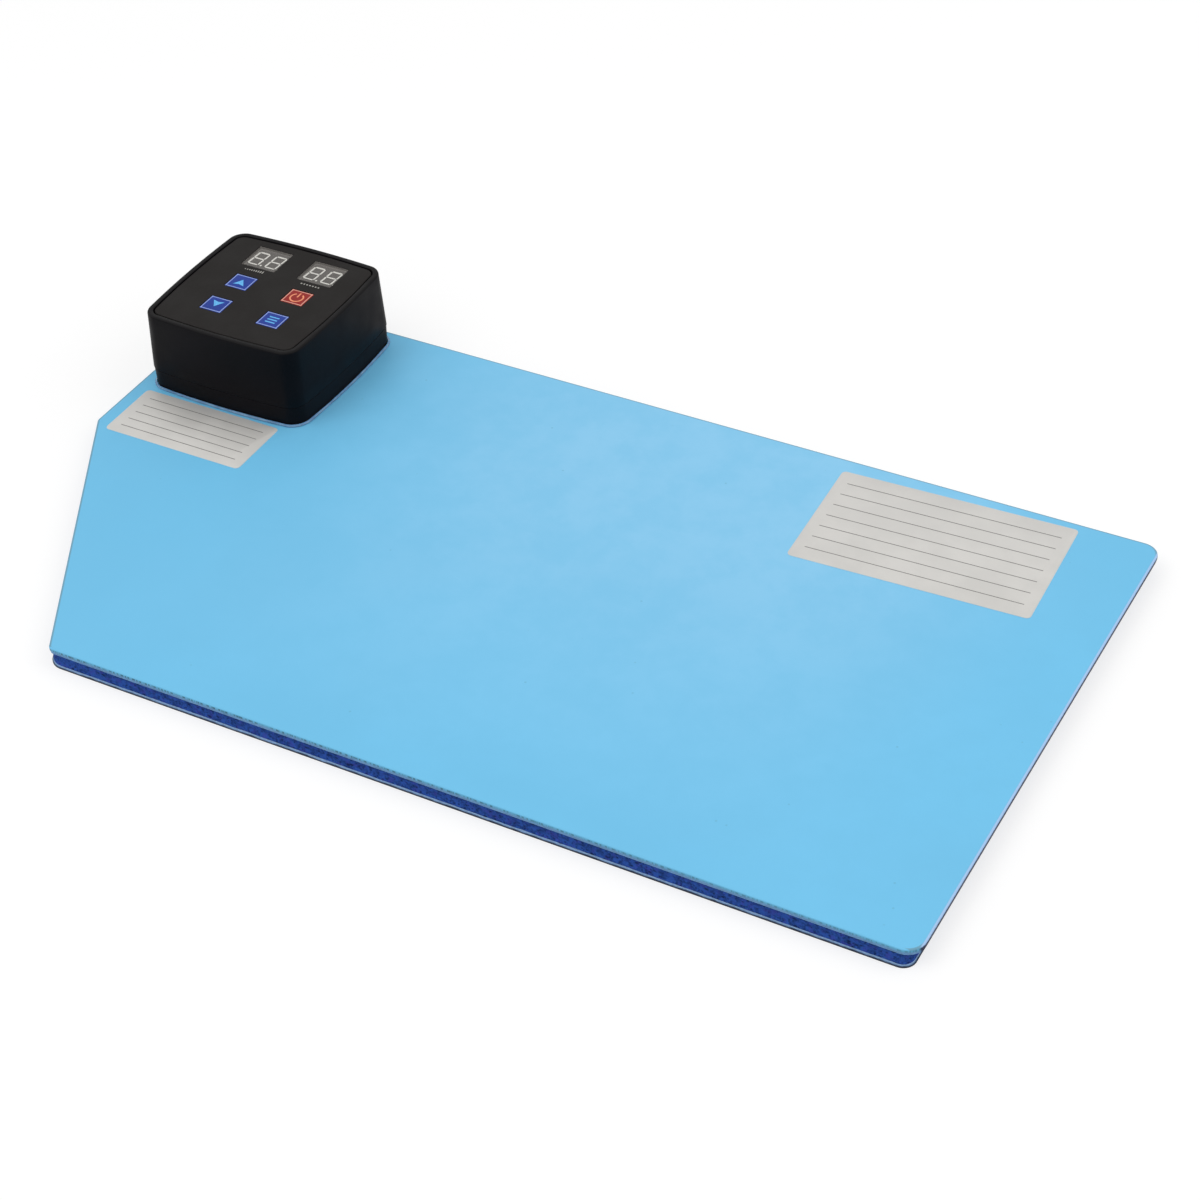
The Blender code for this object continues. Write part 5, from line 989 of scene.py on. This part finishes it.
class HEATMAT_OT_housing(bpy.types.Operator):
    """Shell and tray of the control box, and the bead of sealant round its foot"""

    bl_idname = "heatmat.housing"
    bl_label = "Box housing"

    def execute(self, context):
        look = context.scene.heatmat_box
        plastic = box_plastic(look)
        self.shell(plastic)
        self.tray(plastic)
        self.bead()
        return {"FINISHED"}

    def shell(self, plastic):
        profile = [(11.7, 0.3), (11.79, 0.09), (12.0, 0), (20, 0), (30, 0), (40, 0), (44.4, 0)]
        quarter = np.radians(np.linspace(12, 90, 7))
        profile += [(44.4 + 1.1 * math.sin(a), 1.1 * (1 - math.cos(a))) for a in quarter]
        profile += [(45.5, 2.6), (45.43, 2.8), (45.28, 2.94), (45.1, 3.0)]
        profile += [(42.9, 3.0), (42.9, 5.8), (41.1, 5.8), (39.4, 2.4)]
        profile += [(13.7, 2.4), (13.7, 1.35), (11.7, 1.35)]
        grid = in_box(np.stack([housing_ring(z * MM, inset * MM) for z, inset in profile]))
        wall = patch(grid, loop=True)
        shell = build("box_shell", [wall], plastic, "station", ["top_shell"])
        width, height, chamfer = INLET_OPENING
        corners = rectangle((width, height))
        top = [(width / 2, height / 2 - chamfer), (width / 2 - chamfer, height / 2)]
        top += [(chamfer - width / 2, height / 2), (-width / 2, height / 2 - chamfer)]
        corners = np.concatenate([corners[:2], np.array(top)])
        outline = rounded_outline(corners, np.array([1, 1, 0.6, 0.6, 0.6, 0.6]) * MM, 0, 4, 0.005)
        carve(shell, [solid(inlet_points(outline, (-8 * MM, 6 * MM)))])

    def tray(self, plastic):
        wall = 2.4
        lip = wall - 0.95
        profile = [(0.3, 0.6), (0.48, 0.18), (0.9, 0), (4, 0), (8, 0), (11.3, 0), (11.4, 0.1)]
        rows = [housing_ring(min(z * MM, TRAY_TOP), inset * MM) for z, inset in profile]
        for z, inset in ((11.4, lip), (13.4, lip), (13.4, wall), (2.7, wall + 0.3)):
            ring = housing_ring(TRAY_TOP, inset * MM)
            ring[:, 2] = z * MM
            rows.append(ring)
        tray = [solid(in_box(np.stack(rows)))]
        build("box_tray", tray, plastic, "station", ["base_tray"])

    def bead(self):
        """Bead: a fillet profile carried round the foot, its width and height wandering along the way."""
        width, height = BEAD_SIZE * 0.9
        reach = CLEARANCE + width
        base = bowed(FOOT_SIZE + 2 * CLEARANCE, BOX_RADIUS + CLEARANCE, FOOT_BOW)
        out = bowed(FOOT_SIZE + 2 * reach, BOX_RADIUS + reach, FOOT_BOW)
        step = out - base
        along = np.cumsum(np.linalg.norm(np.roll(base, 1, axis=0) - base, axis=1)) / 0.012
        grow = (1 + 0.08 * wander(along, 11))[:, None]
        rows = [lifted(base, CLEARANCE)]
        for angle in np.linspace(0, math.pi / 2, 7):
            spread = 1 - 0.88 * math.sin(angle)
            rise = 1 - 0.9 * math.cos(angle) ** 0.8
            ring = base + step * spread * grow * 0.95
            rows.append(lifted(ring, CLEARANCE + height * rise * grow[:, 0] * 0.93))
        bead = boxed([patch(np.stack(rows), loop=True)])
        build("foot_bead", bead, bead_silicone(), "station", ["sealant_bead"])


class HEATMAT_OT_panel(bpy.types.Operator):
    """Panel film, windows, lit digits and the small marks under them"""

    bl_idname = "heatmat.panel"
    bl_label = "Panel and displays"

    def execute(self, context):
        look = context.scene.heatmat_box
        cover("control_panel", panel_film(look))
        pane = window_film(look)
        face = moulded("display_face", tint(40, 39, 38), 0.5, 0.0005)
        lit = ink("lit_bar", look.digit_colour, look.digit_glow)
        for name, x in zip(("temperature", "time"), COLUMNS):
            cover(name + "_window", pane)
            cover(name + "_display", face)
            bars = []
            for side in (-0.5, 0.5):
                bars += self.digit((x + side * DIGIT_SPACING, WINDOW_ROW))
            build(name + "_digits", boxed(bars), lit, "station")
        self.marks()
        return {"FINISHED"}

    def digit(self, at):
        """Seven bars with pointed ends, and a point at the lower right."""
        width = 6.4 * MM
        height = 11.5 * MM
        stroke = 0.88 * MM
        low = DISPLAY_TOP - 0.29 * MM
        high = DISPLAY_TOP + 0.02 * MM
        patches = []
        bars = [(0, row * height / 2, False) for row in (-1, 0, 1)]
        bars += [(side * width / 2, row * height / 4, True) for side in (-1, 1) for row in (-1, 1)]
        for x, y, upright in bars:
            half = ((height / 2 if upright else width) - 0.3 * MM) / 2
            flat = half - stroke / 2
            shape = np.array([(-half, 0), (-flat, -0.5), (flat, -0.5), (half, 0), (flat, 0.5), (-flat, 0.5)])
            shape[:, 1] *= stroke
            if upright:
                shape = np.column_stack([-shape[:, 1], shape[:, 0]])
            shape = shape + np.array([x, y])
            shape[:, 0] += 0.06 * shape[:, 1]
            patches.append(tile(shape + np.array(at), low, high, 0.03 * MM))
        point_at = (at[0] + 4.75 * MM, at[1] - 5.6 * MM)
        patches.append(lathe([(0.62 * MM, low), (0.6 * MM, high)], point_at, 16))
        return patches

    def marks(self):
        """Printed marks: a rising scale under one window and a row of dots under the other."""
        pale_ink = ink("mark_ink", tint(176, 174, 168))
        low = PANEL_TOP + 0.005 * MM
        high = low + 0.02 * MM
        patches = []
        for k in range(9):
            x = COLUMNS[0] + (k - 4) * 1.35 * MM
            rise = (0.6 + 0.17 * k) * MM
            patches.append(bar((x, SCALE_ROW), (x, SCALE_ROW + rise), 0.6 * MM, low, high))
        for k in range(7):
            spot = (COLUMNS[1] + (k - 3) * 1.8 * MM, DOT_ROW)
            patches.append(lathe([(0.52 * MM, low), (0.5 * MM, high)], spot, 14))
        build("panel_marks", boxed(patches), pale_ink, "station")


class HEATMAT_OT_keys(bpy.types.Operator):
    """Four crowned keys with their frames and symbols, each on its own moving body"""

    bl_idname = "heatmat.keys"
    bl_label = "Keys"

    def execute(self, context):
        look = context.scene.heatmat_box
        looks = {}
        for kind, colour, frame_tint, sign_tint in (
            ("blue", look.key_colour, tint(148, 168, 226), tint(102, 184, 242)),
            ("red", look.power_colour, tint(228, 166, 148), tint(240, 150, 112)),
        ):
            film = moulded("key_film_" + kind, colour, 0.4, 0.0005, 0.00002, 0.15, Specular_IOR_Level=0.2)
            looks[kind] = (film, ink("frame_ink_" + kind, frame_tint), ink("sign_ink_" + kind, sign_tint))
        for name, at in KEYS.items():
            kind = "red" if name == "power" else "blue"
            film, frame_ink, sign_ink = looks[kind]
            body = "key_" + name
            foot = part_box(body)[0]
            stem = lathe([(1.8 * MM, foot.z - MAT_TOP), (1.8 * MM, 42.3 * MM)], at, 24)
            patches = boxed([self.cap(look.key_crown, at), stem])
            build(body + "_cap", patches, film, body, [body])
            sign = getattr(self, name)(at)
            self.print_on(body + "_frame", self.frame(at), frame_ink, body, look.key_crown, at, kind)
            self.print_on(body + "_sign", sign, sign_ink, body, look.key_crown, at, kind)
        return {"FINISHED"}

    @staticmethod
    def crown(points, at, rise):
        """Height above the edge: rise * (1 - (x / half)^2) * (1 - (y / half)^2)."""
        share = (points[..., :2] - np.array(at)) / (KEY_SIZE / 2)
        return rise * np.clip(1 - share[..., 0] ** 2, 0, 1) * np.clip(1 - share[..., 1] ** 2, 0, 1)

    def cap(self, rise, at):
        """Flange, walls, rounded edge and crowned top, as rings of a rounded rectangle."""
        flange = KEY_SIZE + 2 * 1.05 * MM
        rings = []
        for size, radius, z, inset in (
            (flange, 0.6, 42.1, 0),
            (flange, 0.6, 42.9, 0),
            (KEY_SIZE, 0.5, 42.9, 0),
            (KEY_SIZE, 0.5, 44.92, 0),
            (KEY_SIZE, 0.5, 45.02, 0.03),
            (KEY_SIZE, 0.5, 45.09, 0.1),
            (KEY_SIZE, 0.5, KEY_TOP, 0.22),
        ):
            radii = np.full(4, radius * MM)
            outline = rounded_outline(rectangle(size, at), radii, inset * MM, 6, side_steps=14)
            rings.append(lifted(outline, z * MM))
        grid = np.concatenate([np.stack(rings), disc_rows(rings[-1], 10)])
        grid[6:, :, 2] += self.crown(grid[6:], at, rise)
        return solid(grid)

    def print_on(self, name, shapes, material, body, rise, at, kind):
        """Lays flat printed shapes on the crowned top of a key."""
        for points, _, _ in shapes:
            points[:, 2] += KEY_TOP * MM + self.crown(points, at, rise)
        build(name, boxed(shapes), material, body)

    def frame(self, at):
        """Four thin bars that cross a little at the corners."""
        half = KEY_SIZE / 2 - 0.72 * MM
        over = 0.45 * MM
        patches = []
        for sign in (-1, 1):
            for flat in (0, 1):
                start = np.array(at, float)
                end = np.array(at, float)
                start[1 - flat] += sign * half[1 - flat]
                end[1 - flat] += sign * half[1 - flat]
                start[flat] -= half[flat] + over
                end[flat] += half[flat] + over
                for share in np.linspace(0, 0.875, 8):
                    first = start + (end - start) * share
                    last = start + (end - start) * (share + 0.126)
                    patches.append(bar(first, last, 0.55 * MM, 0, 0.03 * MM))
        return patches

    def up(self, at):
        return self.arrow(at, 1)

    def down(self, at):
        return self.arrow(at, -1)

    def arrow(self, at, sign):
        """A filled triangle with a slightly hollow base."""
        shape = np.array([(-3.4, -3.1), (0, -2.3), (3.4, -3.1), (0, 2.2)]) * MM
        shape[:, 1] *= sign
        if sign < 0:
            shape = shape[::-1]
        return [tile(shape + np.array(at), 0, 0.03 * MM, 0.01 * MM)]

    def power(self, at):
        """An open ring with a bar in its gap."""
        angle = np.radians(np.linspace(-238, 58, 40))
        unit = np.column_stack([np.cos(angle), np.sin(angle)])
        middle = np.array(at) + np.array([0, -0.3 * MM])
        inner = middle + unit * 3.15 * MM
        outer = middle + unit * 4.05 * MM
        rows = [lifted(outer, 0), lifted(outer, 0.03 * MM), lifted(inner, 0.03 * MM), lifted(inner, 0)]
        ring = patch(np.stack(rows), around=False, loop=True)
        ends = middle + np.array([(0, 0.4), (0, 4.4)]) * MM
        return [ring, bar(ends[0], ends[1], 0.9 * MM, 0, 0.03 * MM)]

    def mode(self, at):
        """Three level bars, for the choice of a programme."""
        patches = []
        for k in (-1, 0, 1):
            y = at[1] + k * 2.3 * MM
            patches.append(bar((at[0] - 3 * MM, y), (at[0] + 3 * MM, y), 0.95 * MM, 0, 0.03 * MM))
        return patches


def cover(node, material):
    """Gives a CAD node its finish through its material slots."""
    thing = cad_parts[node]
    for slot in thing.material_slots:
        slot.material = material


class HEATMAT_OT_inner_parts(bpy.types.Operator):
    """Finishes for the inlet, the boards, the wires and all that lies inside"""

    bl_idname = "heatmat.inner_parts"
    bl_label = "Inlet and inner parts"

    def execute(self, context):
        finishes = {
            "black_plastic": moulded("socket_plastic", tint(26, 26, 28), 0.45, 0.0006),
            "component_black": moulded("part_plastic", tint(28, 28, 30), 0.55, 0.0004),
            "relay_blue": moulded("relay_case", tint(38, 88, 164), 0.35, 0.0006),
            "terminal_green": moulded("terminal_case", tint(52, 138, 74), 0.4, 0.0006),
            "nylon_white": moulded("nylon", tint(226, 224, 214), 0.45, 0.0005, spread=0.06),
            "red_lead": moulded("red_jacket", tint(178, 34, 30), 0.4, 0.0005),
            "black_lead": moulded("black_jacket", tint(26, 26, 28), 0.4, 0.0005),
            "white_lead": moulded("white_jacket", tint(220, 218, 212), 0.4, 0.0005, spread=0.06),
            "display_grey": moulded("display_case", tint(92, 90, 88), 0.5, 0.0005),
            "screw_steel": metal("screw_steel", tint(150, 150, 152), 0.32),
            "bright_metal": metal("plated_pin", tint(196, 192, 180), 0.22),
            "etched_foil": metal("etched_foil", tint(176, 168, 150), 0.3, (12, 1, 1)),
            "plate_steel": metal("plate_steel", tint(138, 140, 144), 0.38, (1, 12, 1)),
            "circuit_green": circuit_board(),
            "transformer_steel": laminations(),
            "grey_ribbon": ribbon_cable(),
        }
        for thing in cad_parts.values():
            for slot in thing.material_slots:
                kind = slot.material.name.split(".")[0] if slot.material else ""
                if kind in finishes:
                    slot.material = finishes[kind]
        return {"FINISHED"}


OPERATORS = (
    HEATMAT_OT_stage,
    HEATMAT_OT_sheets,
    HEATMAT_OT_foam,
    HEATMAT_OT_labels,
    HEATMAT_OT_housing,
    HEATMAT_OT_panel,
    HEATMAT_OT_keys,
    HEATMAT_OT_inner_parts,
)
LOOKS = {"heatmat_mat": MatLook, "heatmat_box": BoxLook, "heatmat_stage": StageLook}


class HEATMAT_PT_sidebar(bpy.types.Panel):
    """Buttons and settings in the sidebar of the 3D view"""

    bl_idname = "HEATMAT_PT_sidebar"
    bl_label = "Heating Mat"
    bl_space_type = "VIEW_3D"
    bl_region_type = "UI"
    bl_category = "Heating Mat"

    def draw(self, context):
        for name, group in LOOKS.items():
            box = self.layout.box()
            for setting in group.__annotations__:
                box.prop(getattr(context.scene, name), setting)
        for operator in OPERATORS:
            self.layout.operator(operator.bl_idname)


def register():
    for name, group in LOOKS.items():
        bpy.utils.register_class(group)
        setattr(bpy.types.Scene, name, bpy.props.PointerProperty(type=group))
    for kind in (*OPERATORS, HEATMAT_PT_sidebar):
        bpy.utils.register_class(kind)


def unregister():
    for kind in (*OPERATORS, HEATMAT_PT_sidebar):
        bpy.utils.unregister_class(kind)
    for name, group in LOOKS.items():
        delattr(bpy.types.Scene, name)
        bpy.utils.unregister_class(group)


def main():
    register()
    for operator in OPERATORS:
        family, name = operator.bl_idname.split(".")
        getattr(getattr(bpy.ops, family), name)()
    sizes = {"cad": CAD_BOUNDS, "visual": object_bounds()}
    sizes = {key: [list(corner) for corner in pair] for key, pair in sizes.items()}


if __name__ == "__main__":
    main()
